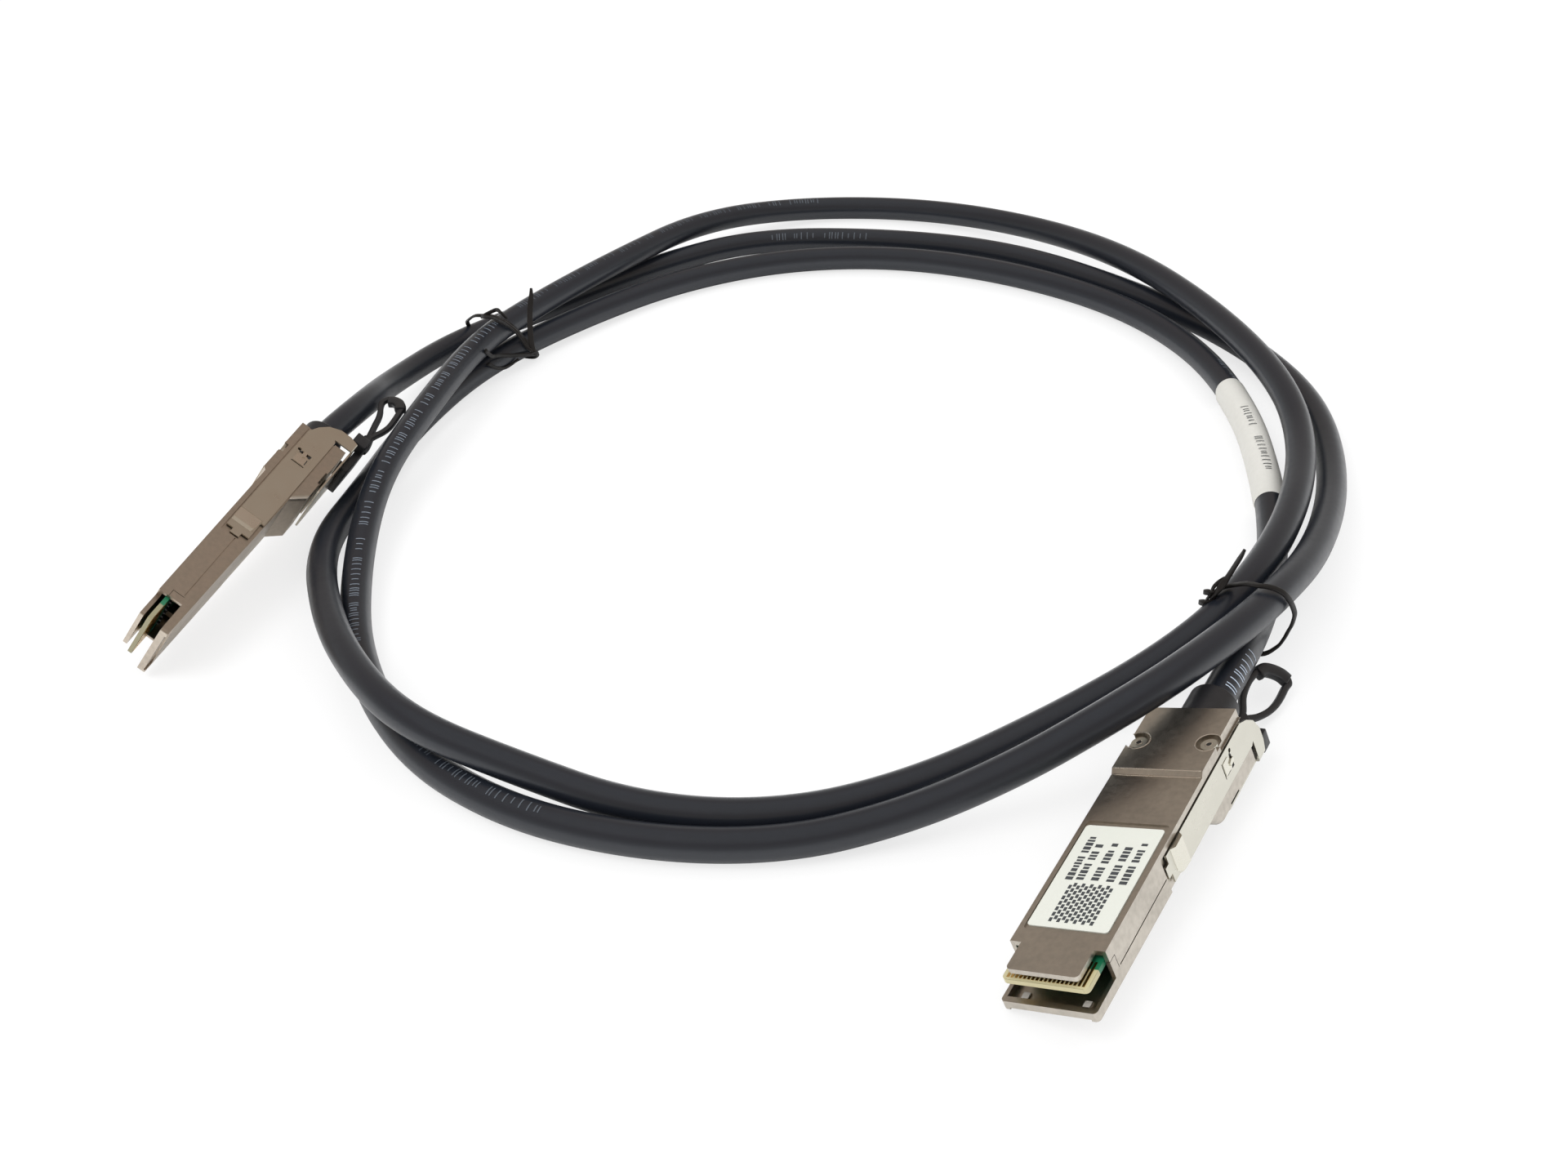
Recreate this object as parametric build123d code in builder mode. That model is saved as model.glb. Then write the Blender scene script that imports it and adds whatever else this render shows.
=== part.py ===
"""Direct attach copper cable: two card-edge plug modules joined by one coiled round cable."""
from build123d import *
import math
import os

os.makedirs("parts", exist_ok=True)

# Module envelope in the module's own frame: x forward to the card end, y to its left, z up,
# origin on the underside below the step of the roof
half_width = 9.175
rear_reach = 19.1
wall_front = 44.1
tray_front = 52.4
nose_front = 50.4
roof_height = 8.5
rear_roof_height = 9.37
roof_step_run = 0.89
seam_height = 3.3
nose_half_width = 6.94
nose_thickness = 1.0
nose_corner_radius = 0.9
tray_top = 2.65
floor_thickness = 1.3
tray_lip = 1.2
tray_corner_radius = 0.8
rear_corner_radius = 0.6
nose_rise = 0.8
taper_start = 5.0
belly_depth = 3.1
belly_front = 2.9
belly_slant = 3.5
belly_corner_radius = 1.2
belly_notch_start = 10.2
belly_notch_end = 6.1
belly_notch_depth = 0.5
inner_half_width = 8.375
rear_jog_depth = 0.35
rear_jog_start = 9.0
rear_jog_base = 7.4
foot_width = 1.4
foot_length = 2.6
foot_gap_depth = 0.5
pad_size = 1.5
pad_height = 0.25
pad_setback = 2.8
pad_aside = 5.9

# Seam groove, the short tab of the lower shell near the mouth, label recess
groove_start = 21.2
groove_end = 41.8
groove_height = 0.25
groove_depth = 0.35
tab_start = 42.3
tab_top = 6.0
tab_thickness = 0.6
tab_clearance = 0.12
recess_start = 13.0
recess_end = 40.9
recess_half_width = 8.2
recess_depth = 0.3
recess_radius = 0.8

# Cable entry: bore through the rear block, wire chamber, ferrule and boot
cable_radius = 3.5
axis_height = 4.25
bore_radius = 4.4
bore_front = 7.0
chamber_half_width = 6.4
chamber_floor = 1.6
chamber_roof = 7.9
ferrule_radius = 4.2
ferrule_bore = 3.62
ferrule_rear = 15.4
ferrule_front = 8.8
ferrule_rib_gap = 0.5
ferrule_rib_spacing = 1.5
ferrule_rib_depth = 0.25
boot_radius = 5.0
boot_bore = 3.62
boot_rear = 27.0
boot_cup_floor = 24.6
boot_cup_radius = 4.25
boot_lip = 0.35
spigot_radius = 4.3
spigot_front = 16.2
boot_seat = 0.1

# Card with its pads and small parts
card_rear = 0.6
card_front = 50.9
card_half_width = 8.21
card_bottom = 5.5
card_thickness = 1.0
card_corner = 0.8
post_size = 1.8
post_aside = 6.2
post_rear = 8.0
post_front = 37.0
contact_spacing = 0.8
contact_count = 19
contact_width = 0.5
contact_length = 5.6
contact_height = 0.06
contact_setback = 0.5
chip_size = 6.0
chip_height = 0.9
chip_forward = 24.0
capacitor_length = 1.0
capacitor_width = 0.5
capacitor_height = 0.5
capacitor_spacing = 1.6
capacitor_count = 8
capacitor_forward = 41.5
wire_radius = 0.4
wire_spacing = 1.5
wire_count = 8
wire_rear = 6.2
wire_front = 3.4
wire_drop = 0.02

# Rivets
rivet_rear = 9.0
rivet_aside = 7.15
rivet_recess_radius = 2.45
rivet_recess_depth = 1.0
rivet_head_radius = 1.6
rivet_head_height = 0.55
rivet_shank_radius = 0.8
rivet_hole_radius = 0.9
rivet_bottom = 1.5
rivet_hole_bottom = 1.1
rivet_dimple_radius = 0.55
rivet_dimple_depth = 0.25

# Stamped latch slider
steel = 0.4
slider_gap = 0.3
channel_depth = 0.5
channel_top = 7.35
channel_front = 20.95
plate_top = 7.0
plate_bottom = 0.3
plate_front = 13.7
band_bottom = 1.1
band_end = 17.0
band_kink = 0.45
band_ramp = 0.7
shoulder_front = 19.2
tip_front = 20.6
tip_bottom = 3.0
tip_top = 5.3
lobe_top_rear = 17.6
lobe_brow_rear = 20.4
lobe_brow_height = 5.7
lobe_cheek_rear = 22.6
lobe_cheek_height = 3.9
lobe_rear = 24.0
lobe_back_top = 1.1
lobe_back_bottom = 1.8
lobe_foot_rear = 23.2
lobe_front = 20.2
lobe_notch_height = 0.8
bridge_bottom = 4.2
bridge_front = 5.0
bridge_half_width = 8.6
bridge_corner_radius = 1.5
bend_radius = 0.35
window_rear = 11.3
window_width = 0.8
window_bottom = 2.3
window_top = 5.0
pin_hole_radius = 0.45
pin_hole_height = 5.75
slit_rear = 7.3
slit_width = 0.25
slit_bottom = 2.2
slit_top = 5.7

# Pull tab: clip under the bridge, neck and closed loop with a grip block
clip_front = 18.0
clip_rear = 28.6
clip_taper = 2.0
clip_half_width = 5.0
clip_waist_half_width = 1.7
clip_top = 4.25
clip_bottom = 6.0
clip_edge_radius = 0.35
neck_radius = 0.85
neck_reach = 2.6
neck_depth = 5.15
loop_start = 1.4
loop_length = 20.2
loop_half_width = 4.3
loop_strand = 1.35
loop_half_thickness = 0.7
grip_length = 4.2
grip_half_thickness = 1.1
grip_edge_radius = 0.35
loop_lean_share_a = 0.1
loop_lean_share_b = 0.05
loop_sink_share = 0.05
# Turn of each loop about its module's long axis, degrees
loop_turn_a = 56.0
loop_turn_b = -17.9

# Face label of module a
label_start = 14.1
label_end = 39.9
label_left = 7.7
label_right = 8.0
label_thickness = 0.2
label_radius = 0.7

# Where the two modules lie: origin, yaw, nose-down pitch and roll
place_x_a = 91.8
place_y_a = -55.7
place_z_a = 6.55
turn_a = (-124.06, 3.4, 20.4)
place_x_b = -95.04
place_y_b = 65.83
place_z_b = 12.33
turn_b = (-111.33, 4.97, 49.54)
# Offset that centres the pair of modules on the origin
centre_x = 1.19
centre_y = 4.92

# Cable route, corner points from module b round the coil to module a
cord_points = [
    (-94.3, 76.6, 16.0), (-89.1, 89.9, 17.3), (-81.5, 111.0, 15.5), (-79.0, 135.0, 8.5),
    (-65.0, 163.5, 4.9), (-38.5, 183.5, 4.4), (-8.5, 207.0, 3.6), (24.0, 221.0, 3.6),
    (65.0, 213.0, 3.6), (102.0, 195.5, 3.6), (131.5, 163.0, 3.6), (153.5, 129.5, 3.6),
    (163.5, 94.0, 3.6), (158.0, 57.0, 4.4), (142.0, 18.5, 11.0), (122.5, -9.5, 18.0),
    (100.5, -30.5, 20.3), (83.0, -41.5, 18.8), (64.0, -47.5, 12.5), (43.5, -50.0, 5.5),
    (20.0, -53.5, 3.6), (-7.5, -49.5, 3.6), (-35.0, -37.0, 3.6), (-57.0, -15.5, 3.6),
    (-72.0, 18.0, 3.6), (-76.5, 54.0, 5.5), (-74.5, 82.5, 10.5), (-66.5, 108.5, 13.0),
    (-56.0, 146.0, 12.5), (-41.0, 167.5, 12.5), (-19.0, 193.0, 12.3), (7.5, 225.5, 9.5),
    (41.0, 243.0, 3.6), (79.0, 234.0, 3.6), (110.5, 208.5, 6.0), (132.5, 169.5, 11.0),
    (147.0, 126.5, 12.5), (153.5, 88.0, 12.5), (150.5, 59.0, 10.5), (136.5, 24.5, 13.4),
    (117.0, -3.5, 14.2), (99.5, -14.5, 9.0), (75.5, -26.0, 5.0), (47.5, -39.5, 3.6),
    (20.5, -46.0, 3.6), (-8.0, -40.5, 3.6), (-34.0, -28.5, 8.2), (-51.0, -20.5, 12.2),
    (-63.5, -6.5, 12.6), (-76.5, 19.5, 11.3), (-86.7, 59.0, 5.5), (-79.4, 88.3, 4.2),
    (-72.5, 117.5, 3.6), (-56.0, 148.0, 4.9), (-29.5, 174.0, 4.4), (-0.5, 195.0, 3.6),
    (32.5, 204.0, 3.6), (67.5, 199.5, 3.6), (101.0, 181.0, 3.6), (129.0, 152.5, 3.8),
    (143.5, 115.5, 4.4), (144.0, 74.0, 4.4), (138.0, 38.0, 3.6), (130.0, 14.5, 4.0),
    (120.8, -6.0, 8.0), (112.0, -22.5, 12.1), (104.4, -34.4, 12.1), (96.3, -46.4, 11.1),
]
arc_share = 0.45
half_share = 0.5
sleeve_corner_count = 60
sleeve_start_share = 0.4
sleeve_end_share = 0.72
sleeve_bore = 3.58
sleeve_radius = 3.72

# Twist ties: closed ribbon loops in upright planes, with loose ends
ribbon_thickness = 0.5
ribbon_width = 2.6
ribbon_tip = 1.2
ribbon_bend = 1.6
tie_left_origin = (-53.0, 160.0, 0.0)
tie_left_along = (0.68, -0.73, 0.0)
tie_left_loop = [
    (-15.6, 4.6), (-13.8, 8.4), (-9.4, 9.6), (-2.8, 13.4), (2.2, 17.2), (7.8, 17.5),
    (11.6, 13.4), (12.2, 6.5), (11.2, 0.9), (3.0, 0.2), (-8.0, 0.2), (-14.4, 0.9),
]
tie_left_ends = [
    ((-41.2, 155.0, 17.6), (-0.04, 1.0, 0.0), 26.0), ((-45.6, 139.5, 12.6), (1.0, -0.08, 0.0), 14.0),
]
tie_right_origin = (120.0, -2.5, 0.0)
tie_right_along = (0.93, -0.37, 0.0)
tie_right_loop = [
    (-8.6, 11.5), (-7.2, 17.0), (-2.8, 19.0), (2.4, 20.8), (6.6, 21.9), (10.4, 19.4),
    (11.0, 13.0), (9.6, 6.0), (5.0, 1.9), (-1.5, 1.6), (-6.3, 5.0),
]
tie_right_ends = [
    ((119.6, 10.6, 12.2), (0.61, 0.79, 0.0), 17.0), ((112.4, 1.4, 10.5), (0.3, 0.95, 0.3), 7.0),
]


def module_plane(x, y, z, turns):
    """Plane of a module: local x forward, local y to its left, local z up."""
    yaw, pitch, roll = (math.radians(angle) for angle in turns)
    forward = Vector(
        math.cos(pitch) * math.cos(yaw), math.cos(pitch) * math.sin(yaw), -math.sin(pitch)
    )
    level = Vector(-math.sin(yaw), math.cos(yaw), 0)
    raised = forward.cross(level)
    up = raised * math.cos(roll) - level * math.sin(roll)
    return Plane(origin=(x - centre_x, y - centre_y, z), x_dir=forward, z_dir=up)


def cross_plane(rear):
    """Plane square to the cable axis, a distance behind the module's origin."""
    return Plane(origin=(-rear, 0, axis_height), x_dir=(0, 1, 0), z_dir=(-1, 0, 0))


# Lower shell: open tray, belly block under the rear, posts for the card
with BuildPart() as lower_shell:
    with BuildSketch(Plane.XY):
        with BuildLine():
            Polyline(
                (-rear_reach, -half_width), (tray_front, -half_width),
                (tray_front, half_width), (-rear_reach, half_width), close=True,
            )
        make_face()
    extrude(amount=seam_height)
    fillet(lower_shell.edges().filter_by(Axis.Z).group_by(Axis.X)[-1], tray_corner_radius)
    with BuildSketch(Plane.XZ):
        with BuildLine():
            Polyline(
                (-rear_reach, 0), (belly_front, 0), (belly_front - belly_slant, -belly_depth),
                (-belly_notch_end, -belly_depth),
                (-belly_notch_end, belly_notch_depth - belly_depth),
                (-belly_notch_start, belly_notch_depth - belly_depth),
                (-belly_notch_start, -belly_depth), (-rear_reach, -belly_depth), close=True,
            )
        make_face()
    extrude(amount=half_width, both=True)
    slant_line = Axis((0, 0, 0), (belly_slant, 0, belly_depth))
    fillet(lower_shell.edges().filter_by(slant_line), belly_corner_radius)
    # open mouth: the tray's rim is lower in front of the side walls
    with BuildSketch(Plane.XY.offset(tray_top)):
        with BuildLine():
            Polyline(
                (wall_front, -half_width), (tray_front, -half_width),
                (tray_front, half_width), (wall_front, half_width), close=True,
            )
        make_face()
    extrude(amount=seam_height, mode=Mode.SUBTRACT)
    with BuildSketch(Plane.XY.offset(floor_thickness)):
        with BuildLine():
            Polyline(
                (0, -inner_half_width), (tray_front - tray_lip, -inner_half_width),
                (tray_front - tray_lip, inner_half_width), (0, inner_half_width), close=True,
            )
        make_face()
    extrude(amount=seam_height, mode=Mode.SUBTRACT)
    # underside rises towards the mouth
    with BuildSketch(Plane.XZ):
        with BuildLine():
            Polyline((taper_start, 0), (tray_front, 0), (tray_front, nose_rise), close=True)
        make_face()
    extrude(amount=half_width, both=True, mode=Mode.SUBTRACT)
    with BuildSketch(cross_plane(bore_front)):
        Circle(bore_radius)
    extrude(amount=rear_reach, mode=Mode.SUBTRACT)
    with BuildSketch(Plane.XY.offset(chamber_floor)):
        with BuildLine():
            Polyline(
                (-bore_front, -chamber_half_width), (0, -chamber_half_width),
                (0, chamber_half_width), (-bore_front, chamber_half_width), close=True,
            )
        make_face()
    extrude(amount=seam_height, mode=Mode.SUBTRACT)
    # posts under the card, square locating pads at the mouth
    with BuildSketch(Plane.XY.offset(floor_thickness)):
        for forward in (post_rear, post_front):
            with Locations((forward, post_aside), (forward, -post_aside)):
                Rectangle(post_size, post_size)
    extrude(amount=card_bottom - floor_thickness)
    with BuildSketch(Plane.XY.offset(floor_thickness)):
        with Locations((tray_front - pad_setback, pad_aside), (tray_front - pad_setback, -pad_aside)):
            Rectangle(pad_size, pad_size)
    extrude(amount=pad_height)
    # short tabs that rise into the upper shell behind the mouth
    with BuildSketch(Plane.XY.offset(seam_height)):
        for side in (1, -1):
            with BuildLine():
                Polyline(
                    (tab_start, side * half_width), (wall_front, side * half_width),
                    (wall_front, side * (half_width - tab_thickness)),
                    (tab_start, side * (half_width - tab_thickness)), close=True,
                )
            make_face()
    extrude(amount=tab_top - seam_height)
    # channels for the slider's arms and holes for the rivets
    for side in (1, -1):
        with BuildSketch(Plane.XY):
            with BuildLine():
                Polyline(
                    (-rear_reach, side * half_width), (channel_front, side * half_width),
                    (channel_front, side * (half_width - channel_depth)),
                    (-rear_reach, side * (half_width - channel_depth)), close=True,
                )
            make_face()
        extrude(amount=seam_height, mode=Mode.SUBTRACT)
    with BuildSketch(Plane.XY.offset(rivet_hole_bottom)):
        with Locations((-rivet_rear, rivet_aside), (-rivet_rear, -rivet_aside)):
            Circle(rivet_hole_radius)
    extrude(amount=seam_height, mode=Mode.SUBTRACT)
    # groove under the mouth leaves two feet at the corners
    with BuildSketch(Plane.XY):
        with BuildLine():
            Polyline(
                (tray_front - foot_length, foot_width - half_width),
                (tray_front, foot_width - half_width),
                (tray_front, half_width - foot_width),
                (tray_front - foot_length, half_width - foot_width), close=True,
            )
        make_face()
    extrude(amount=nose_rise + foot_gap_depth - tab_clearance, mode=Mode.SUBTRACT)

# Upper shell: roof, side walls, rear block and nose plate
with BuildPart() as upper_shell:
    with BuildSketch(Plane.XY.offset(seam_height)):
        with BuildLine():
            Polyline(
                (-rear_reach, -half_width), (wall_front, -half_width),
                (wall_front, half_width), (-rear_reach, half_width), close=True,
            )
        make_face()
    extrude(amount=roof_height - seam_height)
    with BuildSketch(Plane.XZ):
        with BuildLine():
            Polyline(
                (-rear_reach, roof_height), (0, roof_height),
                (-roof_step_run, rear_roof_height), (-rear_reach, rear_roof_height), close=True,
            )
        make_face()
    extrude(amount=half_width, both=True)
    with BuildSketch(Plane.XY.offset(roof_height)):
        with BuildLine():
            Polyline(
                (wall_front, -nose_half_width), (nose_front, -nose_half_width),
                (nose_front, nose_half_width), (wall_front, nose_half_width), close=True,
            )
        make_face()
    extrude(amount=-nose_thickness)
    fillet(upper_shell.edges().filter_by(Axis.Z).group_by(Axis.X)[-1], nose_corner_radius)
    with BuildSketch(Plane.XY.offset(seam_height)):
        with BuildLine():
            Polyline(
                (0, -inner_half_width), (wall_front, -inner_half_width),
                (wall_front, inner_half_width), (0, inner_half_width), close=True,
            )
        make_face()
    extrude(amount=roof_height - nose_thickness - seam_height, mode=Mode.SUBTRACT)
    with BuildSketch(cross_plane(bore_front)):
        Circle(bore_radius)
    extrude(amount=rear_reach, mode=Mode.SUBTRACT)
    with BuildSketch(Plane.XY.offset(seam_height)):
        with BuildLine():
            Polyline(
                (-bore_front, -chamber_half_width), (0, -chamber_half_width),
                (0, chamber_half_width), (-bore_front, chamber_half_width), close=True,
            )
        make_face()
    extrude(amount=chamber_roof - seam_height, mode=Mode.SUBTRACT)
    # shallow recess for the face label
    with BuildSketch(Plane.XY.offset(roof_height)):
        with BuildLine():
            Polyline(
                (recess_start, -recess_half_width), (recess_end, -recess_half_width),
                (recess_end, recess_half_width), (recess_start, recess_half_width), close=True,
            )
        make_face()
        fillet(vertices(), recess_radius)
    extrude(amount=-recess_depth, mode=Mode.SUBTRACT)
    # rear roof is a little narrower, and round recesses take the rivet heads
    for side in (1, -1):
        with BuildSketch(Plane.XY.offset(rear_jog_base)):
            with BuildLine():
                Polyline(
                    (-rear_reach, side * half_width), (-rear_jog_start, side * half_width),
                    (-rear_jog_start, side * (half_width - rear_jog_depth)),
                    (-rear_reach, side * (half_width - rear_jog_depth)), close=True,
                )
            make_face()
        extrude(amount=rear_roof_height, mode=Mode.SUBTRACT)
        with BuildSketch(Plane.XY.offset(seam_height)):
            with BuildLine():
                Polyline(
                    (-rear_reach, side * half_width), (channel_front, side * half_width),
                    (channel_front, side * (half_width - channel_depth)),
                    (-rear_reach, side * (half_width - channel_depth)), close=True,
                )
            make_face()
        extrude(amount=channel_top - seam_height, mode=Mode.SUBTRACT)
        # groove along the seam and room for the lower shell's tab
        with BuildSketch(Plane.XY.offset(seam_height)):
            with BuildLine():
                Polyline(
                    (groove_start, side * half_width), (groove_end, side * half_width),
                    (groove_end, side * (half_width - groove_depth)),
                    (groove_start, side * (half_width - groove_depth)), close=True,
                )
            make_face()
        extrude(amount=groove_height, mode=Mode.SUBTRACT)
        with BuildSketch(Plane.XY.offset(seam_height)):
            with BuildLine():
                Polyline(
                    (tab_start - tab_clearance, side * half_width),
                    (wall_front, side * half_width),
                    (wall_front, side * (half_width - tab_thickness - tab_clearance)),
                    (tab_start - tab_clearance, side * (half_width - tab_thickness - tab_clearance)),
                    close=True,
                )
            make_face()
        extrude(amount=tab_top + tab_clearance - seam_height, mode=Mode.SUBTRACT)
    with BuildSketch(Plane.XY.offset(rear_roof_height)):
        with Locations((-rivet_rear, rivet_aside), (-rivet_rear, -rivet_aside)):
            Circle(rivet_recess_radius)
    extrude(amount=-rivet_recess_depth, mode=Mode.SUBTRACT)
    with BuildSketch(Plane.XY.offset(seam_height)):
        with Locations((-rivet_rear, rivet_aside), (-rivet_rear, -rivet_aside)):
            Circle(rivet_hole_radius)
    extrude(amount=rear_roof_height, mode=Mode.SUBTRACT)

# Card, its contact pads, small parts and the wires soldered to it
with BuildPart() as card:
    with BuildSketch(Plane.XY.offset(card_bottom)):
        with BuildLine():
            Polyline(
                (card_rear, -card_half_width), (card_front, -card_half_width),
                (card_front, card_half_width), (card_rear, card_half_width), close=True,
            )
        make_face()
    extrude(amount=card_thickness)
    fillet(card.edges().filter_by(Axis.Z).group_by(Axis.X)[-1], card_corner)

with BuildPart() as contacts:
    pad_centre = card_front - contact_setback - contact_length * half_share
    with BuildSketch(Plane.XY.offset(card_bottom + card_thickness)):
        with Locations((pad_centre, 0)):
            with GridLocations(contact_length, contact_spacing, 1, contact_count):
                Rectangle(contact_length, contact_width)
    extrude(amount=contact_height)
    with BuildSketch(Plane.XY.offset(card_bottom)):
        with Locations((pad_centre, 0)):
            with GridLocations(contact_length, contact_spacing, 1, contact_count):
                Rectangle(contact_length, contact_width)
    extrude(amount=-contact_height)

with BuildPart() as components:
    with BuildSketch(Plane.XY.offset(card_bottom)):
        with Locations((chip_forward, 0)):
            Rectangle(chip_size, chip_size)
    extrude(amount=-chip_height)
    with BuildSketch(Plane.XY.offset(card_bottom)):
        with Locations((capacitor_forward, 0)):
            with GridLocations(capacitor_length, capacitor_spacing, 1, capacitor_count):
                Rectangle(capacitor_length, capacitor_width)
    extrude(amount=-capacitor_height)

with BuildPart() as wires:
    wire_span = wire_rear + wire_front
    for height in (
        card_bottom + card_thickness + wire_radius + wire_drop, card_bottom - wire_radius - wire_drop,
    ):
        wire_face = Plane(origin=(wire_front, 0, height), x_dir=(0, 1, 0), z_dir=(-1, 0, 0))
        with BuildSketch(wire_face):
            with GridLocations(wire_spacing, wire_spacing, wire_count, 1):
                RegularPolygon(wire_radius, 6)
        extrude(amount=wire_span)

with BuildPart() as ferrule:
    with BuildSketch(cross_plane(ferrule_front)):
        Circle(ferrule_radius)
        Circle(ferrule_bore, mode=Mode.SUBTRACT)
    extrude(amount=ferrule_rear - ferrule_front)
    for rib in range(1, 4):
        with BuildSketch(cross_plane(ferrule_front + rib * ferrule_rib_spacing)):
            Circle(ferrule_radius)
            Circle(ferrule_radius - ferrule_rib_depth, mode=Mode.SUBTRACT)
        extrude(amount=ferrule_rib_gap, mode=Mode.SUBTRACT)

with BuildPart() as boot:
    with BuildSketch(Plane.XZ):
        with BuildLine():
            Polyline(
                (-spigot_front, axis_height + boot_bore),
                (-spigot_front, axis_height + spigot_radius),
                (-rear_reach - boot_seat, axis_height + spigot_radius),
                (-rear_reach - boot_seat, axis_height + boot_radius),
                (-boot_rear, axis_height + boot_radius),
                (-boot_rear, axis_height + boot_cup_radius),
                (-boot_cup_floor, axis_height + boot_cup_radius),
                (-boot_cup_floor, axis_height + boot_bore), close=True,
            )
        make_face()
    revolve(axis=Axis((0, 0, axis_height), (1, 0, 0)), revolution_arc=360)
    fillet(boot.edges().filter_by(GeomType.CIRCLE).group_by(Axis.X)[0], boot_lip)

with BuildPart() as rivets:
    head_base = rear_roof_height - rivet_recess_depth
    with BuildSketch(Plane.XY.offset(rivet_bottom)):
        with Locations((-rivet_rear, rivet_aside), (-rivet_rear, -rivet_aside)):
            Circle(rivet_shank_radius)
    extrude(amount=head_base - rivet_bottom)
    with BuildSketch(Plane.XY.offset(head_base)):
        with Locations((-rivet_rear, rivet_aside), (-rivet_rear, -rivet_aside)):
            Circle(rivet_head_radius)
    extrude(amount=rivet_head_height)
    with BuildSketch(Plane.XY.offset(head_base + rivet_head_height)):
        with Locations((-rivet_rear, rivet_aside), (-rivet_rear, -rivet_aside)):
            Circle(rivet_dimple_radius)
    extrude(amount=-rivet_dimple_depth, mode=Mode.SUBTRACT)

# Stamped latch slider: two kinked arms joined by a bridge under the belly
arm_inner = half_width - channel_depth + slider_gap
arm_outer = arm_inner + steel
with BuildPart() as slider:
    for side in (1, -1):
        with BuildSketch(Plane.XY.offset(-bridge_bottom)):
            with BuildLine():
                Polyline(
                    (-lobe_rear, side * arm_inner),
                    (plate_front, side * arm_inner),
                    (plate_front + band_ramp, side * (arm_inner + band_kink)),
                    (band_end - band_ramp, side * (arm_inner + band_kink)),
                    (band_end, side * arm_inner),
                    (tip_front, side * arm_inner),
                    (tip_front, side * arm_outer),
                    (band_end, side * arm_outer),
                    (band_end - band_ramp, side * (arm_outer + band_kink)),
                    (plate_front + band_ramp, side * (arm_outer + band_kink)),
                    (plate_front, side * arm_outer),
                    (-lobe_rear, side * arm_outer),
                    close=True,
                )
            make_face()
        extrude(amount=bridge_bottom + plate_top)
    with BuildSketch(Plane.XZ):
        with BuildLine():
            Polyline(
                (-lobe_top_rear, plate_top), (shoulder_front, plate_top),
                (shoulder_front, tip_top), (tip_front, tip_top), (tip_front, tip_bottom),
                (shoulder_front, tip_bottom), (shoulder_front, band_bottom),
                (plate_front, band_bottom), (plate_front, plate_bottom),
                (-rear_reach - slider_gap, plate_bottom), (-lobe_front, lobe_notch_height),
                (-lobe_front, -bridge_bottom), (-lobe_foot_rear, -bridge_bottom),
                (-lobe_rear, -lobe_back_bottom), (-lobe_rear, lobe_back_top),
                (-lobe_cheek_rear, lobe_cheek_height), (-lobe_brow_rear, lobe_brow_height),
                close=True,
            )
        make_face()
    extrude(amount=half_width + boot_radius, both=True, mode=Mode.INTERSECT)
    with BuildSketch(Plane.XY.offset(-bridge_bottom)):
        with BuildLine():
            Polyline(
                (-lobe_foot_rear, -arm_outer), (-lobe_front, -arm_outer),
                (-lobe_front, -bridge_half_width), (-bridge_front, -bridge_half_width),
                (-bridge_front, bridge_half_width), (-lobe_front, bridge_half_width),
                (-lobe_front, arm_outer), (-lobe_foot_rear, arm_outer), close=True,
            )
        make_face()
        fillet(vertices().group_by(Axis.X)[-1], bridge_corner_radius)
    extrude(amount=steel)
    fillet(
        slider.edges().filter_by(Axis.X).group_by(Axis.Z)[0].filter_by(
            lambda edge: abs(edge.center().Y) > bridge_half_width + steel
        ),
        bend_radius,
    )
    # punched window, slit and pin hole in both arms
    with BuildSketch(Plane.XZ):
        with BuildLine():
            Polyline(
                (-window_rear, window_bottom), (window_width - window_rear, window_bottom),
                (window_width - window_rear, window_top), (-window_rear, window_top), close=True,
            )
        make_face()
        with BuildLine():
            Polyline(
                (-slit_rear, slit_bottom), (slit_width - slit_rear, slit_bottom),
                (slit_width - slit_rear, slit_top), (-slit_rear, slit_top), close=True,
            )
        make_face()
        with Locations((-window_rear, pin_hole_height)):
            Circle(pin_hole_radius)
    extrude(amount=half_width + boot_radius, both=True, mode=Mode.SUBTRACT)


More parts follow.
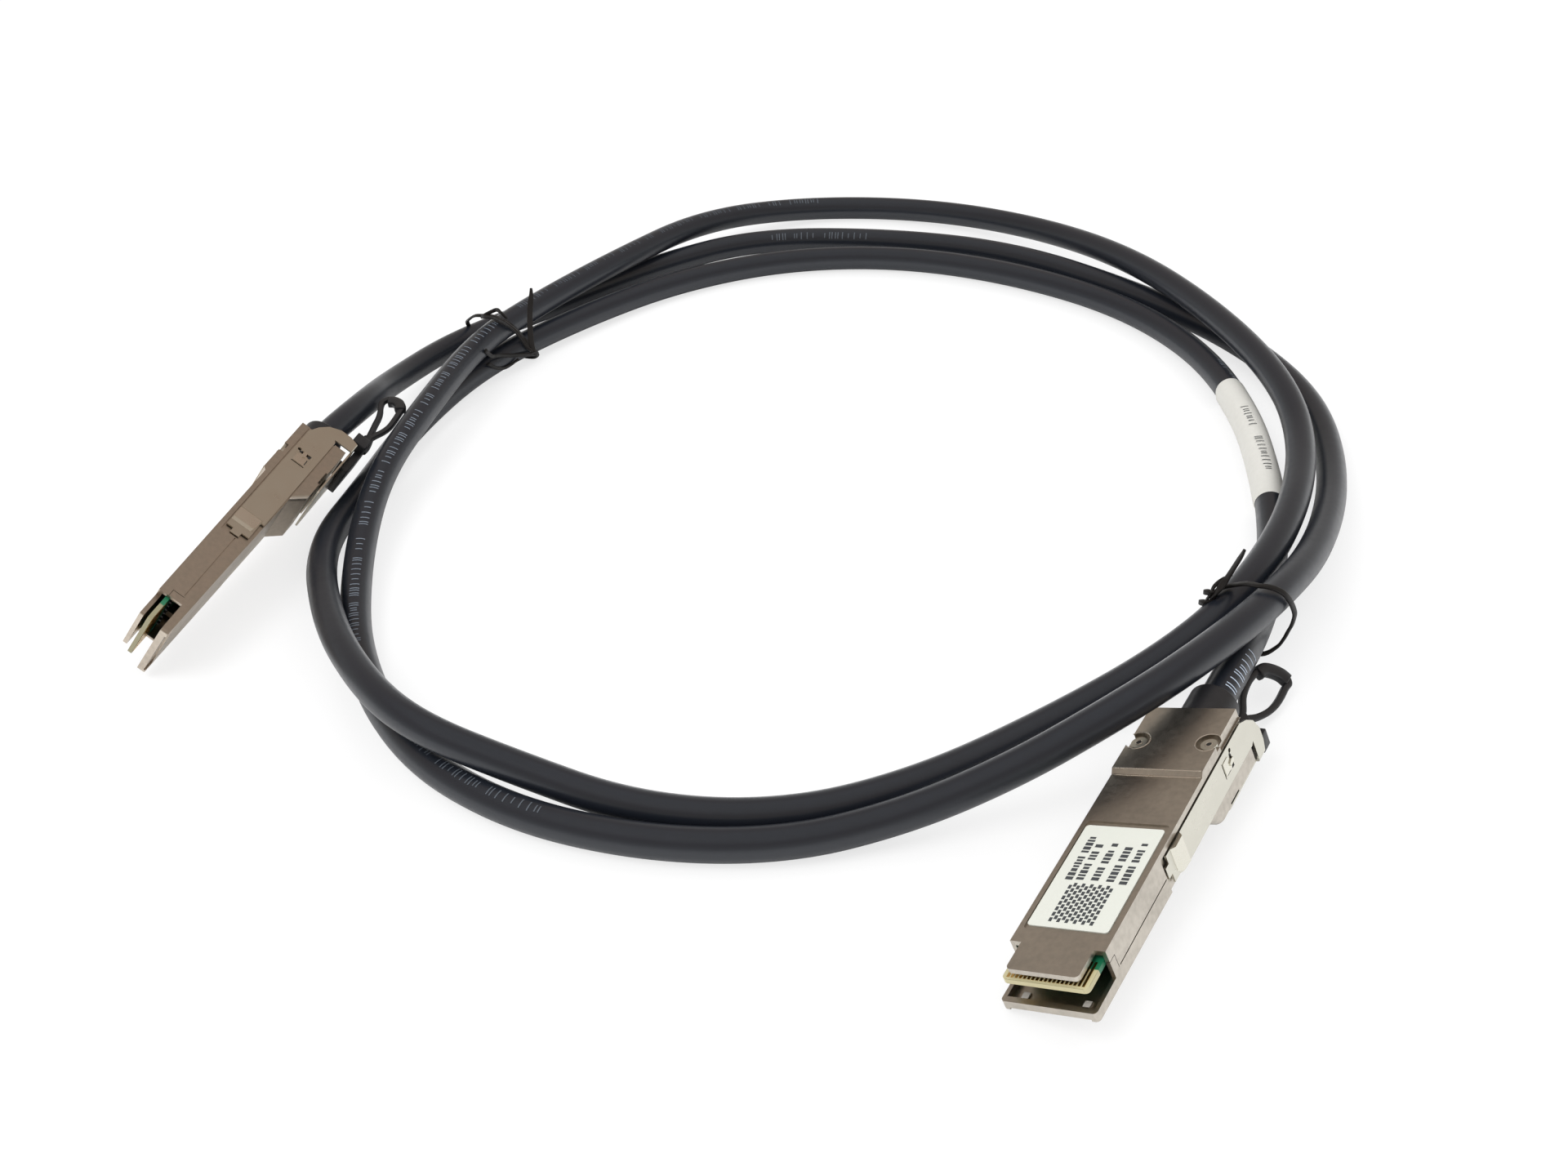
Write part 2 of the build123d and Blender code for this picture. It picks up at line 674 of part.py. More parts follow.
def pull_tab(turn, lean_share):
    """Moulded pull tab whose loop is turned about the module's long axis and leans aside."""
    clip_waist = clip_rear + clip_taper
    lean = Vector(-1, lean_share, -loop_sink_share)
    facing = Vector(0, math.sin(math.radians(turn)), math.cos(math.radians(turn)))
    loop_plane = Plane(origin=(-clip_waist, 0, -neck_depth), x_dir=lean, z_dir=facing)
    with BuildPart() as tab:
        with BuildSketch(Plane.XY.offset(-clip_bottom)):
            with BuildLine():
                Polyline(
                    (-clip_front, -clip_half_width), (-clip_front, clip_half_width),
                    (-clip_rear, clip_half_width), (-clip_waist, clip_waist_half_width),
                    (-clip_waist, -clip_waist_half_width), (-clip_rear, -clip_half_width),
                    close=True,
                )
            make_face()
        extrude(amount=clip_bottom - clip_top)
        fillet(tab.edges().filter_by(Axis.Z), clip_edge_radius)
        neck_plane = Plane(origin=(-clip_rear, 0, -neck_depth), x_dir=(0, 1, 0), z_dir=(-1, 0, 0))
        with BuildSketch(neck_plane):
            Circle(neck_radius)
        extrude(amount=clip_taper + neck_reach)
        loop_centre = loop_start + loop_length * half_share
        with BuildSketch(loop_plane):
            with Locations((loop_centre, 0)):
                SlotOverall(loop_length, loop_half_width + loop_half_width)
                SlotOverall(
                    loop_length - loop_strand - loop_strand,
                    loop_half_width + loop_half_width - loop_strand - loop_strand,
                    mode=Mode.SUBTRACT,
                )
        extrude(amount=loop_half_thickness, both=True)
        with BuildSketch(loop_plane):
            with Locations((loop_centre, 0)):
                SlotOverall(loop_length, loop_half_width + loop_half_width)
            with Locations((loop_start + loop_length - grip_length - loop_half_width, 0)):
                Rectangle(
                    loop_half_width + loop_half_width, loop_length, mode=Mode.SUBTRACT,
                )
            with Locations((loop_start, 0)):
                Rectangle(loop_length, loop_length, mode=Mode.SUBTRACT)
        extrude(amount=grip_half_thickness, both=True)
    return tab


tab_a = pull_tab(loop_turn_a, loop_lean_share_a)
tab_b = pull_tab(loop_turn_b, loop_lean_share_b)

with BuildPart() as face_label:
    with BuildSketch(Plane.XY.offset(roof_height - recess_depth)):
        with BuildLine():
            Polyline(
                (label_start, -label_right), (label_end, -label_right),
                (label_end, label_left), (label_start, label_left), close=True,
            )
        make_face()
        fillet(vertices(), label_radius)
    extrude(amount=label_thickness)

# Each end gets its own copy of the module's pieces
end_a = module_plane(place_x_a, place_y_a, place_z_a, turn_a)
end_b = module_plane(place_x_b, place_y_b, place_z_b, turn_b)
shared_pieces = {
    "lower_housing": lower_shell, "upper_housing": upper_shell, "paddle_card": card,
    "card_contacts": contacts, "card_components": components, "twinax_wires": wires,
    "crimp_ferrule": ferrule, "cable_boot": boot, "rivets": rivets, "latch_slider": slider,
}
for end_name, end_plane, end_tab in (("a", end_a, tab_a), ("b", end_b, tab_b)):
    for piece_name, piece in {**shared_pieces, "pull_tab": end_tab}.items():
        placed = piece.part.moved(end_plane.location)
        placed.label = piece_name + "_" + end_name
        export_step(placed, "parts/" + placed.label + ".step")
placed_label = face_label.part.moved(end_a.location)
placed_label.label = "module_label_a"
export_step(placed_label, "parts/module_label_a.step")

# Cable: straight runs joined by tangent arcs
route = [Vector(x - centre_x, y - centre_y, z) for x, y, z in cord_points]
bend_radii = []
for before, corner, after in zip(route, route[1:], route[2:]):
    entry = corner - before
    leave = after - corner
    half_turn = math.radians(entry.get_angle(leave)) * half_share
    bend_radii.append(arc_share * min(entry.length, leave.length) / math.tan(half_turn))
print("cable bend radii", [round(radius, 1) for radius in bend_radii])
with BuildPart() as cable:
    with BuildLine() as cable_line:
        FilletPolyline(route, radius=bend_radii)
    start_plane = Plane(origin=route[0], z_dir=route[1] - route[0])
    with BuildSketch(start_plane):
        Circle(cable_radius)
    sweep(path=cable_line.wires()[0])
cable.part.label = "cable"
cable_section = math.pi * cable_radius * cable_radius
print("cable length", round(cable_line.wires()[0].length, 1),
      "volume over section", round(cable.part.volume / cable_section, 1))
export_step(cable.part, "parts/cable.step")

# Paper sleeve wrapped round the third turn
sleeve_before, sleeve_corner, sleeve_after = route[sleeve_corner_count:][:3]
sleeve_start = sleeve_before + (sleeve_corner - sleeve_before) * sleeve_start_share
sleeve_end = sleeve_corner + (sleeve_after - sleeve_corner) * sleeve_end_share
with BuildPart() as cable_sleeve:
    with BuildLine() as sleeve_line:
        FilletPolyline([sleeve_start, sleeve_corner, sleeve_end], radius=bend_radii[sleeve_corner_count])
    with BuildSketch(Plane(origin=sleeve_start, z_dir=sleeve_corner - sleeve_start)):
        Circle(sleeve_radius)
        Circle(sleeve_bore, mode=Mode.SUBTRACT)
    sweep(path=sleeve_line.wires()[0])
cable_sleeve.part.label = "cable_label"
export_step(cable_sleeve.part, "parts/cable_label.step")


def twist_tie(origin, along, loop_points, loose_ends):
    """Ribbon closed round the strands in an upright plane, with its loose ends."""
    across = Vector(*along).normalized()
    upright = Plane(
        origin=Vector(*origin) - Vector(centre_x, centre_y, 0), x_dir=across,
        z_dir=across.cross(Vector(0, 0, 1)),
    )
    with BuildPart() as tie:
        with BuildSketch(upright):
            with BuildLine():
                Polyline(*loop_points, close=True)
            make_face()
            fillet(vertices(), ribbon_bend)
            offset(amount=-ribbon_thickness, mode=Mode.SUBTRACT)
        extrude(amount=ribbon_width * half_share, both=True)
        for centre, heading, length in loose_ends:
            end_across = Vector(*heading).normalized()
            end_plane = Plane(
                origin=Vector(*centre) - Vector(centre_x, centre_y, 0), x_dir=end_across,
                z_dir=end_across.cross(Vector(0, 0, 1)),
            )
            with BuildSketch(end_plane):
                Rectangle(length, ribbon_width)
                fillet(vertices(), ribbon_tip)
            extrude(amount=ribbon_thickness)
    return tie


tie_left = twist_tie(tie_left_origin, tie_left_along, tie_left_loop, tie_left_ends)
tie_left.part.label = "twist_tie_left"
export_step(tie_left.part, "parts/twist_tie_left.step")
tie_right = twist_tie(tie_right_origin, tie_right_along, tie_right_loop, tie_right_ends)
tie_right.part.label = "twist_tie_right"
export_step(tie_right.part, "parts/twist_tie_right.step")
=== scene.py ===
"""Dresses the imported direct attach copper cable: materials, print, ties, floor, light and camera."""

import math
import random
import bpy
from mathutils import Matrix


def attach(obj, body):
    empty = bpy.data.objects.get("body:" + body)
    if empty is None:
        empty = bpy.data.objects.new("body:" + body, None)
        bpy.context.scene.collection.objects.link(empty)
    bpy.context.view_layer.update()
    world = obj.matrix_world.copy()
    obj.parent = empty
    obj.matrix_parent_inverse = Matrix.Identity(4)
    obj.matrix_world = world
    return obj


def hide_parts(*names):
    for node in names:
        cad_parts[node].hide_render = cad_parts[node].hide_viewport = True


bl_info = {
    "name": "Direct Attach Copper Cable",
    "version": (1, 0, 0),
    "blender": (4, 5, 0),
    "location": "View3D > Sidebar > Cable",
    "description": "Builds the looks of a coiled copper cable with two plug modules",
    "category": "Object",
}

import bmesh
import bpy
import numpy as np
from mathutils import Matrix, Vector

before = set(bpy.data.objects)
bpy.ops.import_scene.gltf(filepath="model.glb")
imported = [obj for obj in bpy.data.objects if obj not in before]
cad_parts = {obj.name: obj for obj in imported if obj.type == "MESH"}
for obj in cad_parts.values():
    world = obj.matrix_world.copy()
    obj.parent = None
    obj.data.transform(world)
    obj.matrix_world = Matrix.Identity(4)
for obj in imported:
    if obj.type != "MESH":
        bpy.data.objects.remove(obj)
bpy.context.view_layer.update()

MM = 0.001
ROOT = "cable_assembly"
# Points closer than this are one, m
MERGE = 0.001 * MM
# The row frame's origin on the plan that the route and the modules are given in, mm
CENTRE = (1.19, 4.92)

# Where the two modules lie: origin in mm, then yaw, nose-down pitch and roll in degrees
MODULE_A = ((91.8, -55.7, 6.55), (-124.06, 3.4, 20.4))
MODULE_B = ((-95.04, 65.83, 12.33), (-111.33, 4.97, 49.54))

# The cable's route, as in the part's source, mm
CORD_POINTS = [
    (-94.3, 76.6, 16.0), (-89.1, 89.9, 17.3), (-81.5, 111.0, 15.5), (-79.0, 135.0, 8.5),
    (-65.0, 163.5, 4.9), (-38.5, 183.5, 4.4), (-8.5, 207.0, 3.6), (24.0, 221.0, 3.6),
    (65.0, 213.0, 3.6), (102.0, 195.5, 3.6), (131.5, 163.0, 3.6), (153.5, 129.5, 3.6),
    (163.5, 94.0, 3.6), (158.0, 57.0, 4.4), (142.0, 18.5, 11.0), (122.5, -9.5, 18.0),
    (100.5, -30.5, 20.3), (83.0, -41.5, 18.8), (64.0, -47.5, 12.5), (43.5, -50.0, 5.5),
    (20.0, -53.5, 3.6), (-7.5, -49.5, 3.6), (-35.0, -37.0, 3.6), (-57.0, -15.5, 3.6),
    (-72.0, 18.0, 3.6), (-76.5, 54.0, 5.5), (-74.5, 82.5, 10.5), (-66.5, 108.5, 13.0),
    (-56.0, 146.0, 12.5), (-41.0, 167.5, 12.5), (-19.0, 193.0, 12.3), (7.5, 225.5, 9.5),
    (41.0, 243.0, 3.6), (79.0, 234.0, 3.6), (110.5, 208.5, 6.0), (132.5, 169.5, 11.0),
    (147.0, 126.5, 12.5), (153.5, 88.0, 12.5), (150.5, 59.0, 10.5), (136.5, 24.5, 13.4),
    (117.0, -3.5, 14.2), (99.5, -14.5, 9.0), (75.5, -26.0, 5.0), (47.5, -39.5, 3.6),
    (20.5, -46.0, 3.6), (-8.0, -40.5, 3.6), (-34.0, -28.5, 8.2), (-51.0, -20.5, 12.2),
    (-63.5, -6.5, 12.6), (-76.5, 19.5, 11.3), (-86.7, 59.0, 5.5), (-79.4, 88.3, 4.2),
    (-72.5, 117.5, 3.6), (-56.0, 148.0, 4.9), (-29.5, 174.0, 4.4), (-0.5, 195.0, 3.6),
    (32.5, 204.0, 3.6), (67.5, 199.5, 3.6), (101.0, 181.0, 3.6), (129.0, 152.5, 3.8),
    (143.5, 115.5, 4.4), (144.0, 74.0, 4.4), (138.0, 38.0, 3.6), (130.0, 14.5, 4.0),
    (120.8, -6.0, 8.0), (112.0, -22.5, 12.1), (104.4, -34.4, 12.1), (96.3, -46.4, 11.1),
]
# Outside diameter of the cable, m
CORD_DIAMETER = 7.0 * MM
# Camera: place in mm, tilt and roll in degrees, lens and sensor in mm. The cable's print faces it
CAMERA_PLACE = (24.0, -287.0, 229.3)
CAMERA_DOWN = 35.4873
CAMERA_ROLL = 4.6777
CAMERA_LENS = 39.375
CAMERA_SENSOR = 36.0
# Print on the cable: first and last place counted in control points, turn in degrees at each, then
# height and spacing in mm, and the ink
PRINT_RUNS = (
    (28.2, 29.9, -48.0, -48.0, 2.2, 1.9, "faint"),
    (30.0, 31.6, -48.0, -48.0, 2.2, 1.9, "faint"),
    (6.6, 7.4, -20.0, -20.0, 2.2, 1.9, "faint"),
    (27.8, 26.1, -35.0, -13.0, 2.2, 1.9, "print"),
    (26.0, 24.7, -12.0, -9.0, 2.2, 1.9, "print"),
    (24.6, 23.4, -8.0, -5.0, 2.2, 1.9, "print"),
    (22.5, 21.2, 30.0, 30.0, 2.2, 1.9, "faint"),
    (65.16, 64.3, -25.0, -36.0, 3.0, 2.2, "bright"),
    (59.6, 59.85, -60.0, -60.0, 2.2, 1.9, "print"),
)

# The twist ties' strips: line in mm, direction of their width, half width and half thickness
TIE_STRIPS = {
    "right": (
        (((110.9, -2.6, 13.2), (112.1, -4.0, 15.8), (113.4, -2.6, 17.0), (114.9, -2.3, 17.5),
          (116.5, -2.9, 18.2), (118.2, -5.6, 20.3), (119.7, -8.6, 21.8), (121.3, -9.8, 22.2),
          (122.7, -10.3, 21.9), (124.2, -10.5, 21.0), (125.2, -10.6, 19.9), (126.2, -10.3, 18.2),
          (127.2, -9.5, 16.0), (127.9, -8.8, 14.0), (128.2, -7.9, 12.0), (128.1, -7.4, 10.0),
          (127.8, -6.7, 8.0), (127.0, -6.9, 6.2), (125.6, -7.2, 4.4), (122.5, -7.6, 3.2),
          (118.4, -5.4, 3.3), (115.0, -2.2, 5.4), (112.8, -0.4, 8.6), (111.4, -0.6, 11.4)),
         (0.65, 0.75, 0.0), 0.62, 0.36),
        (((111.6, -3.9, 16.4), (112.9, -4.6, 18.5), (114.6, -3.2, 19.7), (115.8, -2.5, 21.2),
          (116.9, -2.1, 23.0), (117.9, -1.9, 24.9), (118.4, -1.8, 26.1)), (0.2, 0.9, 0.3), 0.8, 0.28),
        (((110.9, -3.8, 15.6), (111.6, -4.0, 17.4), (112.5, -3.1, 18.5), (114.3, -2.4, 19.6),
          (116.1, -2.6, 20.6)), (0.3, 0.9, 0.3), 0.45, 0.25),
        (((110.9, -1.9, 11.2), (109.7, -3.2, 11.8), (110.6, -4.4, 12.8), (112.0, -3.6, 13.3),
          (111.4, -2.1, 13.7), (109.9, -2.6, 14.3), (110.3, -4.2, 15.1), (112.0, -4.3, 15.7),
          (112.7, -2.8, 15.6), (111.8, -2.0, 16.3), (110.6, -2.9, 17.0), (111.6, -4.2, 17.6),
          (113.0, -3.8, 17.7)), (0.0, 0.0, 1.0), 0.55, 0.3),
    ),
    "left": (
        (((-61.0, 166.9, 8.0), (-60.6, 163.6, 11.0), (-58.9, 158.6, 14.2), (-56.8, 155.3, 16.6),
          (-55.0, 153.5, 17.5), (-52.8, 153.0, 17.4), (-51.0, 152.9, 17.1), (-49.7, 152.1, 16.8),
          (-48.3, 151.7, 16.1), (-47.2, 151.8, 15.2), (-46.2, 151.9, 14.1), (-45.5, 152.9, 12.4),
          (-45.0, 154.7, 10.4), (-44.3, 155.5, 8.4), (-43.4, 154.9, 7.2), (-42.4, 154.7, 5.2),
          (-41.2, 155.8, 3.1), (-42.0, 157.6, 1.0), (-46.0, 159.8, 0.6), (-52.0, 164.6, 0.7),
          (-57.6, 169.0, 1.6), (-60.8, 169.4, 4.4)),
         (-0.55, -0.8, 0.0), 0.62, 0.36),
        (((-54.4, 152.9, 17.4), (-53.2, 151.0, 18.2), (-50.3, 148.7, 18.8), (-47.5, 145.5, 18.9),
          (-45.2, 142.3, 18.8), (-43.2, 139.3, 18.3), (-41.6, 136.5, 17.3), (-40.2, 133.9, 16.2),
          (-38.7, 133.0, 15.3)), (0.3, -0.1, 1.0), 0.6, 0.32),
        (((-54.0, 152.6, 17.5), (-53.2, 151.7, 18.3), (-51.3, 150.6, 19.6), (-49.3, 149.7, 20.6),
          (-48.0, 147.8, 20.6), (-46.4, 147.2, 18.8)), (0.4, -0.3, 0.9), 0.55, 0.28),
        (((-38.7, 132.8, 15.0), (-39.0, 134.3, 15.5), (-39.4, 137.4, 17.0), (-39.6, 141.7, 19.5),
          (-39.5, 146.0, 22.0), (-39.0, 148.4, 24.5), (-38.9, 150.1, 26.0)), (1.0, 0.0, 0.2),
         0.8, 0.26),
        (((-52.8, 140.2, 13.2), (-51.9, 143.6, 9.6), (-50.6, 147.4, 7.6), (-47.6, 150.4, 5.8),
          (-44.6, 152.6, 4.6), (-42.3, 155.0, 3.2), (-41.0, 157.4, 1.7)), (0.2, -0.3, 1.0), 0.6, 0.3),
        (((-53.4, 143.4, 7.4), (-51.6, 145.4, 4.9), (-49.9, 148.0, 3.3), (-47.9, 150.2, 3.2),
          (-46.0, 151.6, 3.9)), (0.2, -0.3, 1.0), 0.5, 0.3),
    ),
}
TIE_STEPS = 6
TIE_SIDES = 10
# A strip narrows to this share of its width over so many last points
TIE_TIP = 0.45
TIE_TIP_POINTS = 10

# Strokes of print, mm: length, shifts of a single stroke and of a pair, share of pairs, heights as
# shares of the full one, strokes in a word, points across a stroke and the ink's stand-off
STROKE_LENGTH = 0.27
SINGLE_SHIFT = (0.35,)
PAIR_SHIFTS = (0.0, 0.8)
PAIR_SHARE = 0.45
STROKE_HEIGHTS = (1.0, 1.0, 0.72)
STROKES_IN_WORD = (3, 9)
STROKE_POINTS = 5
INK_LIFT = 0.03
# Inks: the settings' ink colour times these, as bright and dark
INKS = {"faint": (0.5, 0.38), "print": (1.0, 0.8), "bright": (2.6, 2.2)}

# Paper sleeve: first and last place in control points, then mm, and radians for the free edge, the
# ridge's top past it and the ridge's width
SLEEVE_SPAN = (59.86, 61.26)
SLEEVE_ROWS = 41
SLEEVE_COLUMNS = 49
SLEEVE_RADIUS = 3.78
SLEEVE_MOUTH = 3.53
SLEEVE_WAVE = 0.10
WAVE_ALONG = 9.0
WAVE_AROUND = 1.5
SLEEVE_RIDGE = 0.14
RIDGE_EDGE = 1.1
RIDGE_TOP = 0.6
RIDGE_WIDTH = 0.5
SLEEVE_RUNS = ((60.22, 60.50, -18.0, -18.0, 2.0, 1.7), (60.60, 61.05, -18.0, -18.0, 2.0, 1.7))
SLEEVE_PRINT_RADIUS = 3.93

# Slider, mm on the module's axes. The kinked tongue's stand-off from the arm, lower edge and upper
# edge are each given as forward places and the values there
ARM_FACE = 9.385
TONGUE_ROWS = 21
TONGUE_LIFT = ((12.7, 13.6, 16.6, 17.5), (-0.2, 0.8, 0.8, -0.2))
TONGUE_LOW = ((12.7, 16.4, 17.5), (1.2, 1.45, 1.9))
TONGUE_HIGH = ((12.7, 17.5), (7.0, 6.9))
TONGUE_DEPTH = 0.35
# Punched tab and its hook: outline as forward and up, and stand-off from the arm
PUNCHED = (
    (((-10.2, 2.75), (-7.45, 2.65), (-7.45, 5.45), (-9.6, 5.55), (-10.2, 4.9)), 0.09),
    (((-11.3, 3.55), (-9.7, 3.35), (-9.55, 4.05), (-10.5, 4.5), (-11.3, 4.35)), 0.32),
)
PUNCHED_DEPTH = 0.3
# Cuts round the punched tab as thin plates of painted shade, and the span of their depth
CUTS = (
    ((-11.2, 2.35), (-10.3, 2.35), (-10.25, 2.85), (-10.8, 3.2)),
    ((-11.3, 4.75), (-10.7, 4.8), (-10.45, 5.2), (-10.9, 5.6)),
    ((-9.6, 2.45), (-8.0, 2.4), (-8.0, 2.62), (-9.6, 2.68)),
)
CUT_SPAN = (9.2, 9.395)

# Shell trim, mm: rivets and the arc of their recess in degrees, edges of the roof's step as forward
# place and height, pads in the tray. Rims, collars and step edges are beads of painted highlight, the
# sockets discs of painted shade. A section is half a width and half a height
RIVET_PLACE = (-9.0, 7.15)
RIM_RADIUS = 2.45
RIM_TURNS = np.linspace(44.0, 316.0, 40)
RIM_HEIGHT = 9.38
RIM_SECTION = (0.10, 0.13)
COLLAR_RADIUS = 0.62
COLLAR_TURNS = np.linspace(0.0, 360.0, 25)
COLLAR_HEIGHT = 8.94
COLLAR_SECTION = (0.09, 0.12)
# The sockets are dark discs of painted shade in the rivet heads
SOCKET_SPAN = (8.90, 8.93)
ROOF_EDGES = ((0.02, 8.53), (-0.90, 9.38))
ROOF_HALF = 8.95
ROOF_STEPS = 12
ROOF_SECTION = (0.15, 0.07)
PAD_FORWARD = (48.9, 50.25)
PAD_SIDE = (5.25, 6.55)
PAD_SPAN = (1.5, 1.62)

# Card, mm: front edge, half width, cut of its corners, rear end of its bare front, and its faces
CARD_FRONT = 50.96
CARD_HALF = 8.26
CARD_CORNER = 0.82
CARD_BARE_FROM = 46.4
CARD_SPAN = (5.52, 6.48)

# Face label, mm: height of its print, rows of bars as side, front and rear, then the bars' half
# height, shares of it, widths, gap, gap between words and bars in a word
LABEL_TOP = 8.42
LABEL_ROWS = ((-5.2, 28.3, 16.2), (-3.1, 28.1, 19.1), (-0.2, 28.0, 18.8), (2.8, 28.0, 18.5),
              (5.4, 28.4, 17.9))
BAR_HALF = 0.75
BAR_HEIGHTS = (1.0, 1.0, 0.8)
BAR_WIDTHS = (0.5, 0.62, 0.8)
BAR_GAP = 0.26
LABEL_WORD_GAP = 0.8
BARS_IN_WORD = (3, 7)
LABEL_SEED = 5
# Field of dashes beside them: rows and columns, first corner, steps, stagger and size of a dash
FIELD_ROWS = 11
FIELD_COLUMNS = 7
FIELD_CORNER = (38.6, -4.4)
FIELD_STEP = (1.35, 0.8)
FIELD_STAGGER = 0.6
DASH = (0.95, 0.62)

# Pull tab, mm: clip plate under the shell, ears as inner side, outer side and lower face, places of
# the ears' front and rear corners, and the neck's start
CLIP_OUTLINE = ((-18.0, -5.0), (-28.6, -5.0), (-30.6, -1.7), (-30.6, 1.7), (-28.6, 5.0), (-18.0, 5.0))
CLIP_SPAN = (-6.0, -4.25)
CLIP_EARS = ((4.8, 8.3, -5.9), (-4.8, -7.4, -5.0))
EAR_TOP = -2.3
EAR_FRONT = -24.7
EAR_REAR_INNER = -28.3
EAR_REAR_OUTER = -27.9
NECK_START = ((-30.2, 0.0, -5.15), (-32.4, 0.0, -5.2))
# Steps between two points of a line, and the point of the strap's line where the neck ends
LOOP_STEPS = 6
NECK_STEPS = 4
NECK_END = 8
STRAP_SECTION = (0.75, 0.72)
BLOCK_SECTION = (1.15, 1.45)
NECK_SECTION = (1.3, 0.85)
# Plane of the pull loops: the point where they start, the turn of its normal in degrees, and how
# far its long axis leans sideways and sinks per mm
LOOP_FOOT = (-30.6, 0.0, -5.15)
LOOP_TURN = 56.0
LOOP_LEAN = 0.1
LOOP_SINK = 0.05
# Centre line of the strap and of the block at its far end, on the loop's plane
LOOP_STRAPS = {
    "a": (((0.3, 0.1), (3.6, -0.2), (6.6, -1.9), (9.7, -3.0), (12.4, -3.4), (15.2, -3.3),
           (18.1, -2.9), (19.9, -2.8), (20.6, -1.4), (19.9, 0.9), (18.4, 2.7), (16.2, 3.6),
           (14.0, 3.8), (11.4, 3.7), (8.0, 2.8), (5.2, 1.1), (3.0, 0.2)),
          ((20.2, -2.3), (20.0, -0.6), (19.1, 1.2), (17.6, 2.8), (15.6, 3.3))),
    "b": (((0.3, 0.9), (4.2, 1.0), (7.4, 1.7), (9.9, 2.4), (12.6, 3.1), (14.8, 4.0), (16.9, 5.2),
           (18.9, 5.8), (20.4, 4.9), (20.9, 3.1), (20.3, 1.0), (18.4, -0.3), (15.2, -0.9),
           (13.2, -1.2), (10.8, -1.4), (8.6, -1.0), (6.4, 0.0), (4.2, 0.9)),
          ((19.6, 4.4), (20.0, 3.0), (19.7, 1.6), (18.8, 0.4), (17.6, -0.2))),
}

# Rounding of sharp edges in mm, and the least angle in degrees that counts as sharp on a pull tab
SLIDER_ROUND = 0.08
RIVET_ROUND = 0.15
TAB_ROUND = 0.2
TAB_SHARP = 40.0
# Tint of each end's metal, a painted shade and reflection that makes b's darker and redder, and the
# painted highlight tint of the brighter pressed parts on it
END_SHADE_TINTS = {"a": (1.0, 1.0, 1.0), "b": (1.0, 0.95, 0.91)}
PRESSED_HIGHLIGHT_TINTS = {"a": (1.12, 1.12, 1.12), "b": (1.16, 1.08, 1.04)}
# Bare front of the card: bright and dark colour, and how bright it is at each end under painted
# shade, darkest in b's shadowed mouth
BARE_CARD = ((0.66, 0.60, 0.36), (0.58, 0.52, 0.30))
CARD_SHADE_TONES = {"a": 0.78, "b": 0.42}
SOLDER_MASK = ((0.012, 0.16, 0.075), (0.006, 0.10, 0.045))
# Plain finishes: colour, dark colour, metallic and roughness
FINISHES = {
    "wrap_paper": ((0.62, 0.61, 0.57), (0.54, 0.53, 0.49), 0.0, 0.55),
    "wrap_print": ((0.07, 0.075, 0.08), (0.05, 0.055, 0.06), 0.0, 0.55),
    "label_paper": ((0.64, 0.65, 0.59), (0.60, 0.61, 0.55), 0.0, 0.45),
    "label_print": ((0.05, 0.055, 0.06), (0.035, 0.04, 0.045), 0.0, 0.5),
    "bright_pad": ((0.46, 0.44, 0.41), (0.40, 0.38, 0.35), 0.0, 0.4),
    # Painted shade: dark plates standing for the shade in the slider's cuts and the rivets' sockets
    "painted_gap_shade": ((0.02, 0.018, 0.016), (0.01, 0.01, 0.01), 0.0, 0.7),
    "contact_gold": ((0.80, 0.55, 0.20), (0.65, 0.42, 0.14), 1.0, 0.25),
    "chip_black": ((0.02, 0.02, 0.02), (0.015, 0.015, 0.015), 0.0, 0.45),
    "wire_skin": ((0.6, 0.6, 0.56), (0.5, 0.5, 0.47), 0.0, 0.5),
    "ferrule_steel": ((0.5, 0.5, 0.48), (0.4, 0.4, 0.38), 1.0, 0.35),
}

# Stage, m: half the floor's side, its place under the part, and the share of glow the camera sees
FLOOR_HALF = 3.0
FLOOR_DROP = 0.0001
FLOOR_GLOW = 0.72
# Lights: name, place, share of the key light's power and size
LIGHTS = (("key", (-0.5, -0.3, 0.9), 1.0, 0.6), ("fill", (0.7, 0.5, 0.8), 0.6, 0.8))
LIGHT_AIM = (0.0, 0.05, 0.0)
# Colours of the world from below to above, for soft light and for what the metal mirrors
SOFT_BAND = ((0.0, (0.75, 0.75, 0.76)), (0.7, (1.0, 1.0, 1.0)))
MIRROR_BAND = ((0.0, (0.80, 0.80, 0.79)), (0.14, (0.72, 0.71, 0.69)), (0.25, (0.46, 0.43, 0.39)),
               (0.34, (0.52, 0.48, 0.43)), (0.66, (0.335, 0.245, 0.195)), (0.85, (0.62, 0.59, 0.56)))


# Places


def module_frame(place):
    """Matrix from a module's own frame in mm to the row frame in metres."""
    (x, y, z), turns = place
    yaw, pitch, roll = (math.radians(angle) for angle in turns)
    forward = Vector((
        math.cos(pitch) * math.cos(yaw), math.cos(pitch) * math.sin(yaw), -math.sin(pitch)))
    level = Vector((-math.sin(yaw), math.cos(yaw), 0.0))
    raised = forward.cross(level)
    left = level * math.cos(roll) + raised * math.sin(roll)
    up = raised * math.cos(roll) - level * math.sin(roll)
    turn = Matrix((forward, left, up)).transposed().to_4x4()
    origin = Vector((x - CENTRE[0], y - CENTRE[1], z)) * MM
    return Matrix.Translation(origin) @ turn @ Matrix.Scale(MM, 4)


END_A = module_frame(MODULE_A)
END_B = module_frame(MODULE_B)
ENDS = (("a", END_A), ("b", END_B))


def row_point(point):
    """A point of the route in mm to the row frame in metres."""
    return Vector((point[0] - CENTRE[0], point[1] - CENTRE[1], point[2])) * MM


def placed(end, points):
    """Points of a module's own frame in mm, in the row frame in metres."""
    turn = np.array(end)
    return np.asarray(points, float) @ turn[:3, :3].T + turn[:3, 3]


# Materials


